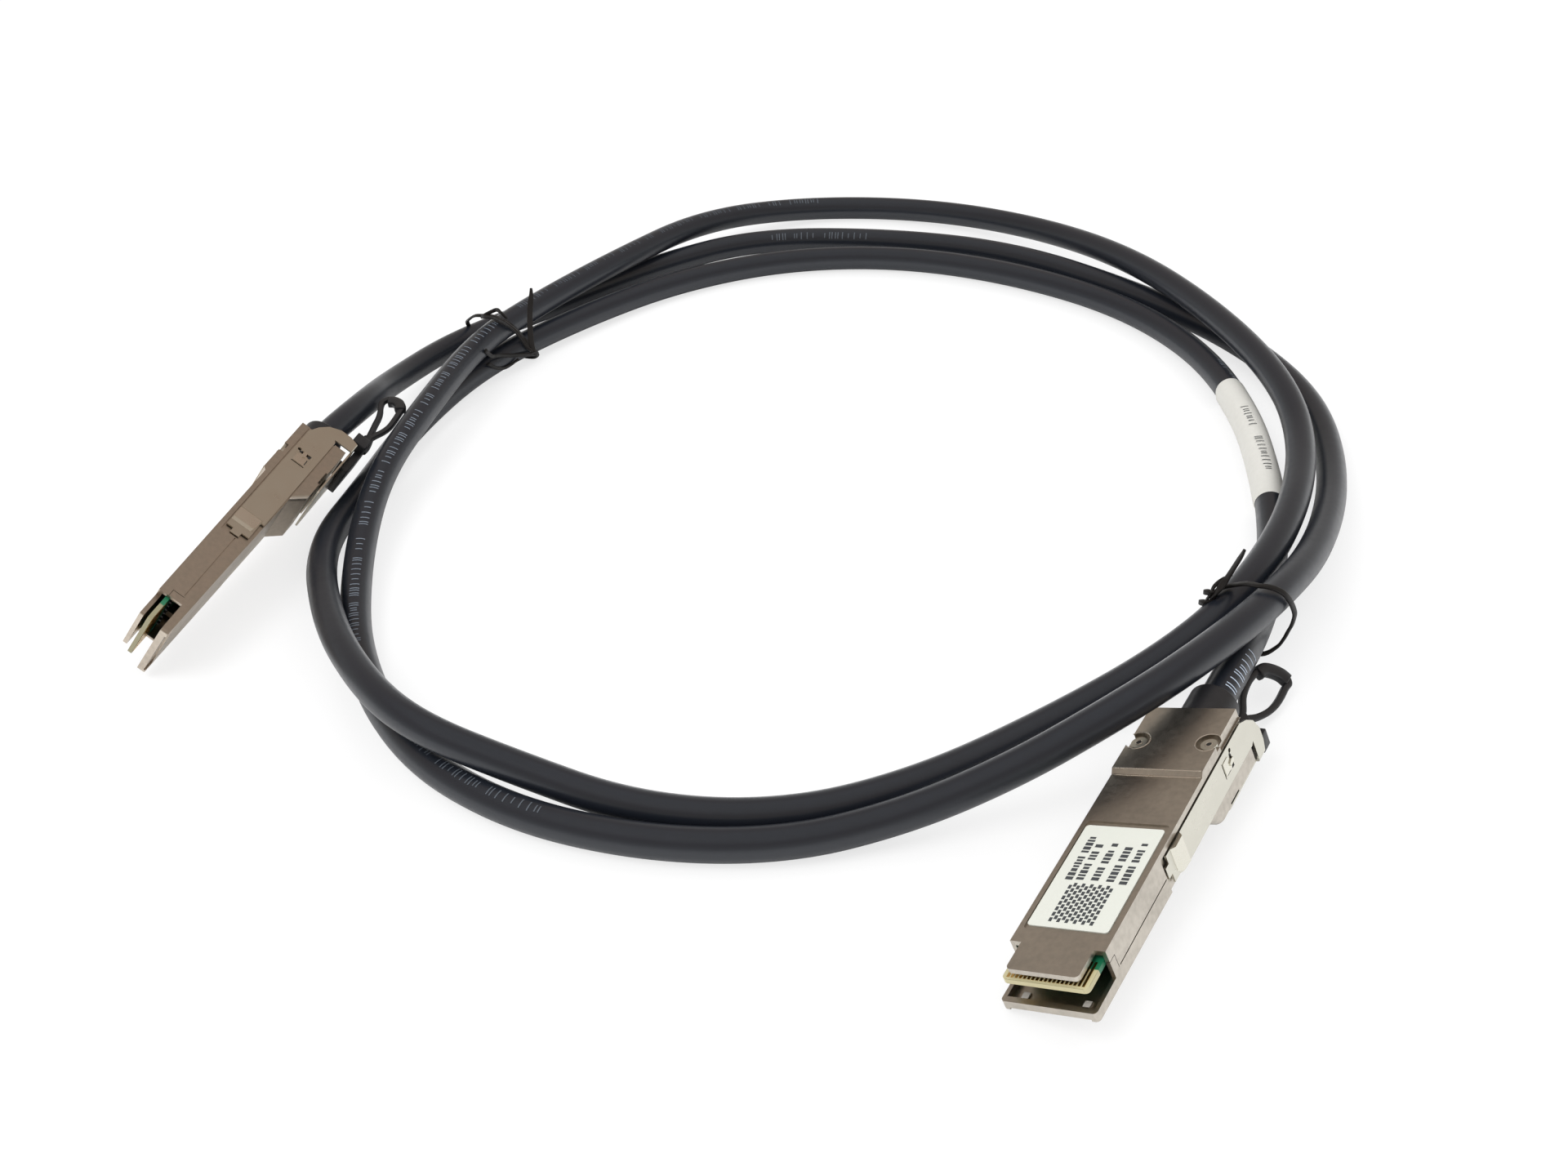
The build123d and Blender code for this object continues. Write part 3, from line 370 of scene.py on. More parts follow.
def node(tree, kind, inputs=None, **settings):
    """A new shader node with its settings, and a link or a plain value on the inputs named."""
    made = tree.nodes.new(kind)
    for name, value in settings.items():
        setattr(made, name, value)
    for key, value in (inputs or {}).items():
        if isinstance(value, bpy.types.NodeSocket):
            tree.links.new(value, made.inputs[key])
        else:
            made.inputs[key].default_value = value
    return made


def node_group(name, inputs, outputs):
    """A new shader node group with its sockets: the group, its input and its output node."""
    group = bpy.data.node_groups.new(name, "ShaderNodeTree")
    for label, kind, default in inputs:
        socket = group.interface.new_socket(label, in_out="INPUT", socket_type=kind)
        socket.default_value = default
    for label, kind in outputs:
        group.interface.new_socket(label, in_out="OUTPUT", socket_type=kind)
    return group, group.nodes.new("NodeGroupInput"), group.nodes.new("NodeGroupOutput")


def mottle_group():
    """Fine-grained surface: colour shifted by two noises, and a matching bump normal.

    Mask = 0.6 fine + 0.4 broad noise, spread from 0.35-0.65 to 0-1, and the colour goes from
    Colour to Dark by Mask times Amount.
    """
    if "FineMottle" in bpy.data.node_groups:
        return bpy.data.node_groups["FineMottle"]
    group, entry, leave = node_group(
        "FineMottle",
        [("Colour", "NodeSocketColor", (0.5, 0.5, 0.5, 1.0)),
         ("Dark", "NodeSocketColor", (0.3, 0.3, 0.3, 1.0)),
         ("Amount", "NodeSocketFloat", 0.3), ("Scale", "NodeSocketFloat", 900.0),
         ("Bump", "NodeSocketFloat", 0.05)],
        [("Colour", "NodeSocketColor"), ("Mask", "NodeSocketFloat"), ("Normal", "NodeSocketVector")])
    given = entry.outputs
    place = node(group, "ShaderNodeTexCoord").outputs["Object"]
    fine = node(group, "ShaderNodeTexNoise", {
        "Vector": place, "Scale": given["Scale"], "Detail": 4.0}).outputs["Fac"]
    broad = node(group, "ShaderNodeTexNoise", {
        "Vector": place, "Scale": 110.0, "Detail": 3.0}).outputs["Fac"]
    share = node(group, "ShaderNodeMath", {0: broad, 1: 0.4}, operation="MULTIPLY")
    both = node(group, "ShaderNodeMath", {0: fine, 1: 0.6, 2: share.outputs[0]},
                operation="MULTIPLY_ADD")
    mask = node(group, "ShaderNodeMapRange", {
        "Value": both.outputs[0], "From Min": 0.35, "From Max": 0.65}).outputs["Result"]
    factor = node(group, "ShaderNodeMath", {0: mask, 1: given["Amount"]}, operation="MULTIPLY")
    mix = node(group, "ShaderNodeMix", {
        "Factor": factor.outputs[0], "A": given["Colour"], "B": given["Dark"]}, data_type="RGBA")
    bump = node(group, "ShaderNodeBump", {
        "Distance": 0.0001, "Strength": given["Bump"], "Height": fine})
    group.links.new(mix.outputs["Result"], leave.inputs["Colour"])
    group.links.new(mask, leave.inputs["Mask"])
    group.links.new(bump.outputs["Normal"], leave.inputs["Normal"])
    return group


def front_group():
    """Mask that is 1 where a point lies further than Distance along Forward from Origin, else 0."""
    if "FrontMask" in bpy.data.node_groups:
        return bpy.data.node_groups["FrontMask"]
    group, entry, leave = node_group(
        "FrontMask",
        [("Origin", "NodeSocketVector", (0.0, 0.0, 0.0)),
         ("Forward", "NodeSocketVector", (1.0, 0.0, 0.0)),
         ("Distance", "NodeSocketFloat", 0.0)],
        [("Mask", "NodeSocketFloat")])
    place = node(group, "ShaderNodeTexCoord").outputs["Object"]
    offset = node(group, "ShaderNodeVectorMath", {0: place, 1: entry.outputs["Origin"]},
                  operation="SUBTRACT")
    along = node(group, "ShaderNodeVectorMath", {
        0: offset.outputs["Vector"], 1: entry.outputs["Forward"]}, operation="DOT_PRODUCT")
    step = node(group, "ShaderNodeMath", {
        0: along.outputs["Value"], 1: entry.outputs["Distance"]}, operation="GREATER_THAN")
    group.links.new(step.outputs["Value"], leave.inputs["Mask"])
    return group


def tinted(colour, tint):
    """A colour times one number or one for each channel, no brighter than 1."""
    return tuple(min(1.0, float(c)) for c in np.multiply(tuple(colour), tint))


def surface(name, colour, dark, metallic, roughness, amount=0.3, scale=900.0, bump=0.1,
            rough_spread=0.06, specular=0.5):
    """A principled material whose colour, roughness and normal come from the mottle group."""
    made = bpy.data.materials.get(name)
    if made:
        return made
    made = bpy.data.materials.new(name)
    made.use_nodes = True
    tree = made.node_tree
    mottle = node(tree, "ShaderNodeGroup", node_tree=mottle_group())
    for label, value in (("Colour", (*colour, 1.0)), ("Dark", (*dark, 1.0)), ("Amount", amount),
                         ("Scale", scale), ("Bump", bump)):
        mottle.inputs[label].default_value = value
    rough = node(tree, "ShaderNodeMapRange", {
        "Value": mottle.outputs["Mask"], "To Min": roughness - rough_spread,
        "To Max": roughness + rough_spread})
    shader = tree.nodes["Principled BSDF"]
    shader.inputs["Metallic"].default_value = metallic
    shader.inputs["Specular IOR Level"].default_value = specular
    tree.links.new(mottle.outputs["Colour"], shader.inputs["Base Color"])
    tree.links.new(mottle.outputs["Normal"], shader.inputs["Normal"])
    tree.links.new(rough.outputs["Result"], shader.inputs["Roughness"])
    return made


def finish(name):
    """One of the plain finishes."""
    return surface(name, *FINISHES[name])


def black_plastic():
    """Moulded black plastic of the boots and pull tabs."""
    return surface("moulded_black", (0.014, 0.014, 0.016), (0.009, 0.009, 0.010), metallic=0.0,
                   roughness=0.42, amount=0.5, scale=700.0, bump=0.05)


def tint_front(material, place, distance, colour):
    """Gives a material another colour beyond a distance in mm along a module."""
    tree = material.node_tree
    mask = node(tree, "ShaderNodeGroup", node_tree=front_group())
    mask.inputs["Origin"].default_value = tuple(place.translation)
    mask.inputs["Forward"].default_value = tuple(place.to_3x3().col[0].normalized())
    mask.inputs["Distance"].default_value = distance * MM
    socket = tree.nodes["Principled BSDF"].inputs["Base Color"]
    blend = node(tree, "ShaderNodeMix", {
        "Factor": mask.outputs["Mask"], "A": socket.links[0].from_socket, "B": (*colour, 1.0)},
        data_type="RGBA")
    tree.links.new(blend.outputs["Result"], socket)


def dress(name, material):
    """Gives a CAD node one material."""
    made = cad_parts[name]
    made.data.materials.clear()
    made.data.materials.append(material)


def soften(made, width, segments=2, angle=30.0):
    """Rounds a piece's sharp edges by a small width in mm."""
    bevel = made.modifiers.new("EdgeRound", "BEVEL")
    bevel.width = width * MM
    bevel.segments = segments
    bevel.limit_method = "ANGLE"
    bevel.angle_limit = math.radians(angle)
    return bevel


def soften_node(name, width, segments=2):
    """Rounds a CAD node's sharp edges and keeps its flat faces shaded flat."""
    soften(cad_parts[name], width, segments).harden_normals = True


# Shapes


def new_piece(name, vertices, faces, material, body=ROOT, smooth=True, closed=True):
    """A mesh object from points in the row frame that rides on a body.

    Coincident points are merged; the faces of closed shapes are turned outwards.
    """
    mesh = bpy.data.meshes.new(name)
    mesh.from_pydata(np.asarray(vertices).tolist(), [], faces)
    work = bmesh.new()
    work.from_mesh(mesh)
    bmesh.ops.remove_doubles(work, verts=work.verts, dist=MERGE)
    if closed:
        bmesh.ops.recalc_face_normals(work, faces=work.faces)
    work.to_mesh(mesh)
    work.free()
    mesh.materials.append(material)
    if smooth:
        mesh.shade_smooth()
    made = bpy.data.objects.new(name, mesh)
    bpy.context.scene.collection.objects.link(made)
    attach(made, body)
    return made


def module_piece(name, place, parts, material, **options):
    """Several shapes of a module's own frame as one piece."""
    vertices, faces = joined(parts)
    return new_piece(name, placed(place, vertices), faces, material, **options)


def joined(parts):
    """Several (vertices, faces) as one."""
    points, faces, offset = [], [], 0
    for vertices, polygons in parts:
        points.append(np.asarray(vertices, float))
        faces += [[index + offset for index in polygon] for polygon in polygons]
        offset += len(vertices)
    return np.vstack(points), faces


def smooth_line(points, steps):
    """Catmull-Rom curve through the points, with so many steps between each two.

    p(t) = 0.5 (2b + (c - a) t + (2a - 5b + 4c - d) t^2 + (3b - a - 3c + d) t^3)
    """
    knots = np.array(points, float)
    knots = np.vstack((2 * knots[0] - knots[1], knots, 2 * knots[-1] - knots[-2]))
    share = np.linspace(0.0, 1.0, steps, endpoint=False)[:, None]
    line = []
    for a, b, c, d in zip(knots, knots[1:], knots[2:], knots[3:]):
        line.append(0.5 * (2 * b + (c - a) * share + (2 * a - 5 * b + 4 * c - d) * share ** 2
                           + (3 * b - a - 3 * c + d) * share ** 3))
    return np.vstack(line + [knots[-2:-1]])


def sheet(rows, columns):
    """Faces of an open grid of points stored row by row."""
    index = np.arange(rows * columns).reshape(rows, columns)
    corners = (index[:-1, :-1], index[:-1, 1:], index[1:, 1:], index[1:, :-1])
    return np.stack(corners, axis=-1).reshape(-1, 4).tolist()


def tube(rows, sides):
    """Faces of rings of points stored row by row, with a cap on each end."""
    index = np.arange(rows * sides).reshape(rows, sides)
    after = np.roll(index, -1, axis=1)
    faces = np.stack((index[:-1], after[:-1], after[1:], index[1:]), axis=-1).reshape(-1, 4).tolist()
    return faces + [index[0, ::-1].tolist(), index[-1].tolist()]


def swept_strip(line, across, half_width, half_height, power=4.0, sides=12):
    """Vertices and faces of a flat section swept along a line.

    The section is |x / half_width|^power + |y / half_height|^power = 1, its width along `across`;
    half_width may be one number or one per point of the line.
    """
    tangent = np.gradient(line, axis=0)
    tangent /= np.linalg.norm(tangent, axis=1)[:, None]
    side = np.broadcast_to(np.array(across, float), line.shape)
    side = side - (side * tangent).sum(axis=1)[:, None] * tangent
    side /= np.linalg.norm(side, axis=1)[:, None]
    rise = np.cross(tangent, side)
    angle = np.linspace(0.0, 2 * np.pi, sides, endpoint=False)
    flat = np.sign(np.cos(angle)) * np.abs(np.cos(angle)) ** (2.0 / power)
    tall = np.sign(np.sin(angle)) * np.abs(np.sin(angle)) ** (2.0 / power)
    wide = np.broadcast_to(half_width, len(line))[:, None, None]
    grid = (line[:, None, :] + wide * flat[None, :, None] * side[:, None, :]
            + half_height * tall[None, :, None] * rise[:, None, :])
    return grid.reshape(-1, 3), tube(len(line), sides)


def round_rim(line, across, section):
    """A thin oval bead along a line, with its half sizes."""
    return swept_strip(line, across, *section, power=2.0, sides=8)


def rectangle(rear, front, low, high):
    """Corners of a rectangle on a module's plan."""
    return [(rear, low), (front, low), (front, high), (rear, high)]


def prism(outline, low, high):
    """Vertices and faces of an upright prism over a plan outline, between two heights."""
    flat = np.array(outline, float)
    points = [np.column_stack((flat, np.full(len(flat), height))) for height in (low, high)]
    return np.vstack(points), tube(2, len(flat))


def side_prism(outline, side, inner, outer):
    """A prism over an outline of (forward, up), between two distances off one side's middle."""
    flat, faces = prism(outline, inner, outer)
    return np.stack((flat[:, 0], side * flat[:, 2], flat[:, 1]), axis=1), faces


def tongue(side):
    """Kinked tongue of one slider arm, a ring of four corners carried forward; side is 1 or -1.

    Outer face = arm + lift, lower and upper edge = low and high, all linear between their places.
    """
    forward = np.linspace(TONGUE_LIFT[0][0], TONGUE_LIFT[0][-1], TONGUE_ROWS)
    outer = ARM_FACE + np.interp(forward, *TONGUE_LIFT)
    low = np.interp(forward, *TONGUE_LOW)
    high = np.interp(forward, *TONGUE_HIGH)
    inner = np.full(TONGUE_ROWS, ARM_FACE - TONGUE_DEPTH)
    corners = ((outer, low), (outer, high), (inner, high), (inner, low))
    ring = np.stack([np.stack((forward, side * off, up), axis=1) for off, up in corners], axis=1)
    return ring.reshape(-1, 3), tube(TONGUE_ROWS, len(corners))


def rivet_arc(radius, turns, height, side):
    """Arc round one rivet: its place plus radius times (sin turn, cos turn), mirrored on side -1."""
    turn = np.radians(turns)
    return np.stack((RIVET_PLACE[0] + radius * np.sin(turn),
                     side * (RIVET_PLACE[1] + radius * np.cos(turn)),
                     np.full(len(turn), height)), axis=1)


def card_lip():
    """Bare front edge of the card: a strip round its front with cut corners, in mm."""
    outline = [(CARD_BARE_FROM, -CARD_HALF), (CARD_FRONT - CARD_CORNER, -CARD_HALF),
               (CARD_FRONT, CARD_CORNER - CARD_HALF), (CARD_FRONT, CARD_HALF - CARD_CORNER),
               (CARD_FRONT - CARD_CORNER, CARD_HALF), (CARD_BARE_FROM, CARD_HALF)]
    points = [(x, y, z) for z in CARD_SPAN for x, y in outline]
    count = len(outline)
    return points, [(i, i + 1, i + 1 + count, i + count) for i in range(count - 1)]


def flat_bar(rear, front, low, high):
    """A printed bar on the face label, in the module's frame, mm."""
    return [(x, y, LABEL_TOP) for x, y in rectangle(rear, front, low, high)], [(0, 1, 2, 3)]


def loop_points(points):
    """Points (along, across) of a pull loop's plane in the module's frame, and the plane's normal.

    The plane passes through LOOP_FOOT; its long axis is (-1, LOOP_LEAN, -LOOP_SINK) and its normal
    is turned by LOOP_TURN from the module's upward axis about the forward axis.
    """
    long_axis = np.array((-1.0, LOOP_LEAN, -LOOP_SINK))
    long_axis /= np.linalg.norm(long_axis)
    turn = math.radians(LOOP_TURN)
    normal = np.array((0.0, math.sin(turn), math.cos(turn)))
    normal -= (normal @ long_axis) * long_axis
    normal /= np.linalg.norm(normal)
    return LOOP_FOOT + points @ np.stack((long_axis, np.cross(normal, long_axis))), normal


class CordLine:
    """Centre line of the cable as Blender evaluates its spline without a bevel."""

    def __init__(self):
        bare = bpy.data.objects["cable_cord"].data.copy()
        bare.bevel_depth = 0.0
        holder = bpy.data.objects.new("bare_line", bare)
        mesh = bpy.data.meshes.new_from_object(holder)
        self.points = np.array([vertex.co[:] for vertex in mesh.vertices])
        bpy.data.meshes.remove(mesh)
        bpy.data.objects.remove(holder)
        bpy.data.curves.remove(bare)
        steps = np.linalg.norm(np.diff(self.points, axis=0), axis=1)
        self.run = np.concatenate(([0.0], np.cumsum(steps)))
        self.eye = np.array(row_point(CAMERA_PLACE))

    def station(self, knot):
        """Length along the cable at a place counted in control points."""
        share = knot / (len(CORD_POINTS) - 2) * (len(self.points) - 1)
        return np.interp(share, np.arange(len(self.points)), self.run)

    def at(self, lengths):
        """Points of the line at lengths along it."""
        return np.stack([np.interp(lengths, self.run, self.points[:, k]) for k in range(3)], axis=1)

    def ring(self, lengths, angles, radius):
        """Points round the cable, one row per length and one column per angle.

        p = centre + radius (cos angle front + sin angle side), front towards the camera.
        """
        lengths = np.asarray(lengths, float)
        centre = self.at(lengths)
        tangent = self.at(lengths + MM) - self.at(lengths - MM)
        tangent /= np.linalg.norm(tangent, axis=1)[:, None]
        side = np.cross(tangent, self.eye - centre)
        side /= np.linalg.norm(side, axis=1)[:, None]
        front = np.cross(side, tangent)
        angles = np.broadcast_to(angles, (len(lengths), np.shape(angles)[-1]))
        radius = np.broadcast_to(radius, angles.shape)
        off = (np.cos(angles)[..., None] * front[:, None, :]
               + np.sin(angles)[..., None] * side[:, None, :])
        return centre[:, None, :] + radius[..., None] * off


def bars_on_cord(line, first, last, turn_first, turn_last, tall, spacing, radius):
    """Upright strokes of print along the cable, in words, some of them in pairs.

    A stroke is a curved patch STROKE_LENGTH long. It spans `tall` mm round the cable at a turn in
    degrees that goes evenly from turn_first to turn_last.
    """
    rng = random.Random(int(first * 100))
    start, end = line.station(first), line.station(last)
    way = 1.0 if end > start else -1.0
    total = abs(end - start)
    half = tall / radius * 0.5
    parts, at, left_in_word = [], 0.0, rng.randint(*STROKES_IN_WORD)
    while at < total:
        turn = math.radians(turn_first + (turn_last - turn_first) * at / total)
        high = half * rng.choice(STROKE_HEIGHTS)
        angles = np.linspace(turn - high, turn + high, STROKE_POINTS)
        for shift in PAIR_SHIFTS if rng.random() < PAIR_SHARE else SINGLE_SHIFT:
            near = start + way * (at + shift * MM)
            grid = line.ring(sorted((near, near + way * STROKE_LENGTH * MM)), angles, radius * MM)
            parts.append((grid.reshape(-1, 3), sheet(2, STROKE_POINTS)))
        at += spacing * MM
        left_in_word -= 1
        if left_in_word == 0:
            at += spacing * MM
            left_in_word = rng.randint(*STROKES_IN_WORD)
    return joined(parts)


# Settings


class MetalSettings(bpy.types.PropertyGroup):
    """Colours and edges of the metal parts."""

    zinc: bpy.props.FloatVectorProperty(
        name="Zinc", description="Colour of the die-cast shells", subtype="COLOR",
        default=(0.52, 0.48, 0.42), min=0.0, max=1.0)
    steel: bpy.props.FloatVectorProperty(
        name="Steel", description="Colour of the stamped sliders", subtype="COLOR",
        default=(0.59, 0.575, 0.505), min=0.0, max=1.0)
    edge: bpy.props.FloatProperty(
        name="Edge", description="Rounding of the cast edges", default=0.18 * MM, unit="LENGTH",
        precision=5, min=0.02 * MM, max=0.4 * MM)


class CordSettings(bpy.types.PropertyGroup):
    """Size and colours of the cable."""

    diameter: bpy.props.FloatProperty(
        name="Diameter", description="Outside diameter of the cable", default=CORD_DIAMETER,
        unit="LENGTH", min=0.004, max=0.012)
    jacket: bpy.props.FloatVectorProperty(
        name="Jacket", description="Colour of the cable jacket", subtype="COLOR",
        default=(0.0115, 0.0140, 0.0200), min=0.0, max=1.0)
    ink: bpy.props.FloatVectorProperty(
        name="Print", description="Colour of the printed strokes", subtype="COLOR",
        default=(0.17, 0.197, 0.235), min=0.0, max=1.0)


class StageSettings(bpy.types.PropertyGroup):
    """Floor and light."""

    floor: bpy.props.FloatVectorProperty(
        name="Floor", description="Colour of the floor", subtype="COLOR",
        default=(0.92, 0.92, 0.92), min=0.0, max=1.0)
    key_power: bpy.props.FloatProperty(
        name="Key light", description="Power of the soft key light in watts", default=5.0,
        unit="POWER", min=0.0, max=50.0)


# Operators


class DressHousings(bpy.types.Operator):
    """Materials and soft edges of the module shells, rivets and sliders"""

    bl_idname = "cable.dress_housings"
    bl_label = "Dress the housings"

    def execute(self, context):
        look = context.scene.cable_metal
        # Module b's zinc and steel are shaded copies: their tint is painted shade and reflection
        for end, tint in END_SHADE_TINTS.items():
            zinc = tinted(look.zinc, tint)
            cast = surface("zinc_" + end, zinc, tinted(zinc, 0.72), metallic=1.0, roughness=0.34,
                           amount=0.55, scale=850.0, bump=0.2)
            plate = tinted(look.steel, tint)
            steel = surface("steel_" + end, plate, tinted(plate, 0.86), metallic=1.0,
                            roughness=0.30, amount=0.12, scale=260.0, bump=0.0, rough_spread=0.04)
            for shell in ("upper_housing_", "lower_housing_"):
                dress(shell + end, cast)
                soften_node(shell + end, look.edge / MM)
            dress("latch_slider_" + end, steel)
            soften_node("latch_slider_" + end, SLIDER_ROUND, segments=1)
            dress("rivets_" + end, steel)
            soften_node("rivets_" + end, RIVET_ROUND)
        return {"FINISHED"}


class BuildSliderTrim(bpy.types.Operator):
    """Kinked tongue, punched tab and hook in painted highlight, cuts round it in painted shade, on
    each slider arm
    """

    bl_idname = "cable.build_slider_trim"
    bl_label = "Build the slider trim"

    def execute(self, context):
        steel = context.scene.cable_metal.steel
        for end, place in ENDS:
            # The pressed parts are brighter than the slider: a painted highlight where they catch the
            # light
            lit_pressed = surface("highlit_pressed_steel_" + end, tinted(steel, PRESSED_HIGHLIGHT_TINTS[end]), tuple(steel),
                              metallic=1.0, roughness=0.27, amount=0.1, scale=260.0, bump=0.0,
                              rough_spread=0.03)
            tabs, cuts = [], []
            for side in (1.0, -1.0):
                tabs.append(tongue(side))
                for outline, lift in PUNCHED:
                    tabs.append(side_prism(outline, side, ARM_FACE - PUNCHED_DEPTH, ARM_FACE + lift))
                for outline in CUTS:
                    cuts.append(side_prism(outline, side, *CUT_SPAN))
            for name, parts, material in (("slider_tabs_", tabs, lit_pressed),
                                          ("slider_gap_shade_", cuts, finish("painted_gap_shade"))):
                module_piece(name + end, place, parts, material, body="slider_" + end, smooth=False)
        return {"FINISHED"}


class BuildShellTrim(bpy.types.Operator):
    """Bright pads in the tray, rivet rims and roof-step edges in painted highlight, sockets in painted
    shade
    """

    bl_idname = "cable.build_shell_trim"
    bl_label = "Build the shell trim"

    def execute(self, context):
        zinc = context.scene.cable_metal.zinc
        # Bright beads on the rivet rims, collars and roof step: painted highlight
        lit_edge = surface("painted_highlight_edge", tinted(zinc, 1.5), tinted(zinc, 1.2), metallic=1.0, roughness=0.3)
        rims, sockets, pads = [], [], []
        for side in (1.0, -1.0):
            rim = rivet_arc(RIM_RADIUS, RIM_TURNS, RIM_HEIGHT, side)
            collar = rivet_arc(COLLAR_RADIUS, COLLAR_TURNS, COLLAR_HEIGHT, side)
            rims.append(round_rim(rim, (0.0, 0.0, 1.0), RIM_SECTION))
            rims.append(round_rim(collar, (0.0, 0.0, 1.0), COLLAR_SECTION))
            sockets.append(prism(collar[:-1, :2], *SOCKET_SPAN))
            inner, outer = (side * edge for edge in PAD_SIDE)
            pads.append(prism(rectangle(*PAD_FORWARD, inner, outer), *PAD_SPAN))
        for forward, height in ROOF_EDGES:
            ends = [(forward, y, height) for y in (-ROOF_HALF, 0.0, ROOF_HALF)]
            edge = smooth_line(ends, ROOF_STEPS)
            rims.append(round_rim(edge, (1.0, 0.0, 0.0), ROOF_SECTION))
        for end, place in ENDS:
            module_piece("tray_pads_" + end, place, pads, finish("bright_pad"), smooth=False)
            module_piece("painted_highlight_edges_" + end, place, rims, lit_edge)
            module_piece("rivet_socket_shade_" + end, place, sockets, finish("painted_gap_shade"), smooth=False)
        return {"FINISHED"}


class DressCards(bpy.types.Operator):
    """Materials of the circuit cards with their bare fronts, their contacts and the hidden wires"""

    bl_idname = "cable.dress_cards"
    bl_label = "Dress the cards"

    def execute(self, context):
        for end, place in ENDS:
            green = surface("solder_mask_" + end, *SOLDER_MASK, metallic=0.0, roughness=0.35)
            # The bare front's colour is darkened by painted shade, most at b
            tint_front(green, place, CARD_BARE_FROM, tinted(BARE_CARD[0], CARD_SHADE_TONES[end]))
            dress("paddle_card_" + end, green)
            dress("card_contacts_" + end, finish("contact_gold"))
            dress("card_components_" + end, finish("chip_black"))
            dress("twinax_wires_" + end, finish("wire_skin"))
            dress("crimp_ferrule_" + end, finish("ferrule_steel"))
        return {"FINISHED"}


class BuildCardLips(bpy.types.Operator):
    """Bare front edge of each card"""

    bl_idname = "cable.build_card_lips"
    bl_label = "Build the card edges"

    def execute(self, context):
        for end, place in ENDS:
            # The bare edge's colours are darkened by painted shade, most at b
            colours = [tinted(colour, CARD_SHADE_TONES[end]) for colour in BARE_CARD]
            bare = surface("card_edge_" + end, *colours, metallic=0.0, roughness=0.5)
            module_piece("card_lip_" + end, place, [card_lip()], bare, smooth=False, closed=False)
        return {"FINISHED"}


class DressBoots(bpy.types.Operator):
    """Material of the boots where the cable leaves the modules"""

    bl_idname = "cable.dress_boots"
    bl_label = "Dress the boots"

    def execute(self, context):
        for end, _ in ENDS:
            dress("cable_boot_" + end, black_plastic())
        return {"FINISHED"}


class BuildPullTabs(bpy.types.Operator):
    """Pull tabs: clip plate under the shell, neck, curved strap and the block at its far end"""

    bl_idname = "cable.build_pull_tabs"
    bl_label = "Build the pull tabs"

    def execute(self, context):
        for end, place in ENDS:
            strap, normal = loop_points(smooth_line(LOOP_STRAPS[end][0], LOOP_STEPS))
            block, _ = loop_points(smooth_line(LOOP_STRAPS[end][1], LOOP_STEPS))
            neck = smooth_line((*NECK_START, tuple(strap[NECK_END])), NECK_STEPS)
            neck_across = np.cross(normal, strap[LOOP_STEPS] - strap[0])
            parts = [prism(CLIP_OUTLINE, *CLIP_SPAN)]
            for inner, outer, low in CLIP_EARS:
                ear = [(EAR_FRONT, inner), (EAR_REAR_INNER, inner), (EAR_REAR_OUTER, outer),
                       (EAR_FRONT, outer)]
                parts.append(prism(ear, low, EAR_TOP))
            parts += [
                swept_strip(strap, normal, *STRAP_SECTION),
                swept_strip(block, normal, *BLOCK_SECTION),
                swept_strip(neck, neck_across, *NECK_SECTION),
            ]
            tab = module_piece("pull_loop_" + end, place, parts, black_plastic(), body="slider_" + end)
            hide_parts("pull_tab_" + end)
            soften(tab, TAB_ROUND, angle=TAB_SHARP)
        return {"FINISHED"}


class BuildCable(bpy.types.Operator):
    """The cable as one smooth NURBS curve of order 3 through its route"""

    bl_idname = "cable.build_cable"
    bl_label = "Build the cable"

    def execute(self, context):
        look = context.scene.cable_cord
        curve = bpy.data.curves.new("cable_cord", "CURVE")
        curve.dimensions = "3D"
        curve.bevel_depth = look.diameter * 0.5
        curve.bevel_resolution = 7
        curve.resolution_u = 12
        curve.use_fill_caps = True
        spline = curve.splines.new("NURBS")
        spline.points.add(len(CORD_POINTS) - 1)
        for knot, point in zip(spline.points, CORD_POINTS):
            knot.co = (*row_point(point), 1.0)
        spline.order_u = 3
        spline.use_endpoint_u = True
        jacket = surface("jacket", tuple(look.jacket), tinted(look.jacket, 0.75), metallic=0.0,
                         roughness=0.33, amount=0.35, scale=600.0, bump=0.03, rough_spread=0.03,
                         specular=0.52)
        curve.materials.append(jacket)
        cord = bpy.data.objects.new("cable_cord", curve)
        context.scene.collection.objects.link(cord)
        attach(cord, ROOT)
        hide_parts("cable")
        return {"FINISHED"}


class BuildPrint(bpy.types.Operator):
    """Rows of plain strokes printed on the cable"""

    bl_idname = "cable.build_print"
    bl_label = "Build the print"

    def execute(self, context):
        look = context.scene.cable_cord
        line = CordLine()
        radius = look.diameter * 0.5 / MM + INK_LIFT
        for number, (*run, strength) in enumerate(PRINT_RUNS):
            bright, dark = (tinted(look.ink, share) for share in INKS[strength])
            ink = surface(strength + "_ink", bright, dark, metallic=0.0, roughness=0.5)
            bars = bars_on_cord(line, *run, radius=radius)
            new_piece("cable_print_%d" % number, *bars, ink, closed=False)
        return {"FINISHED"}


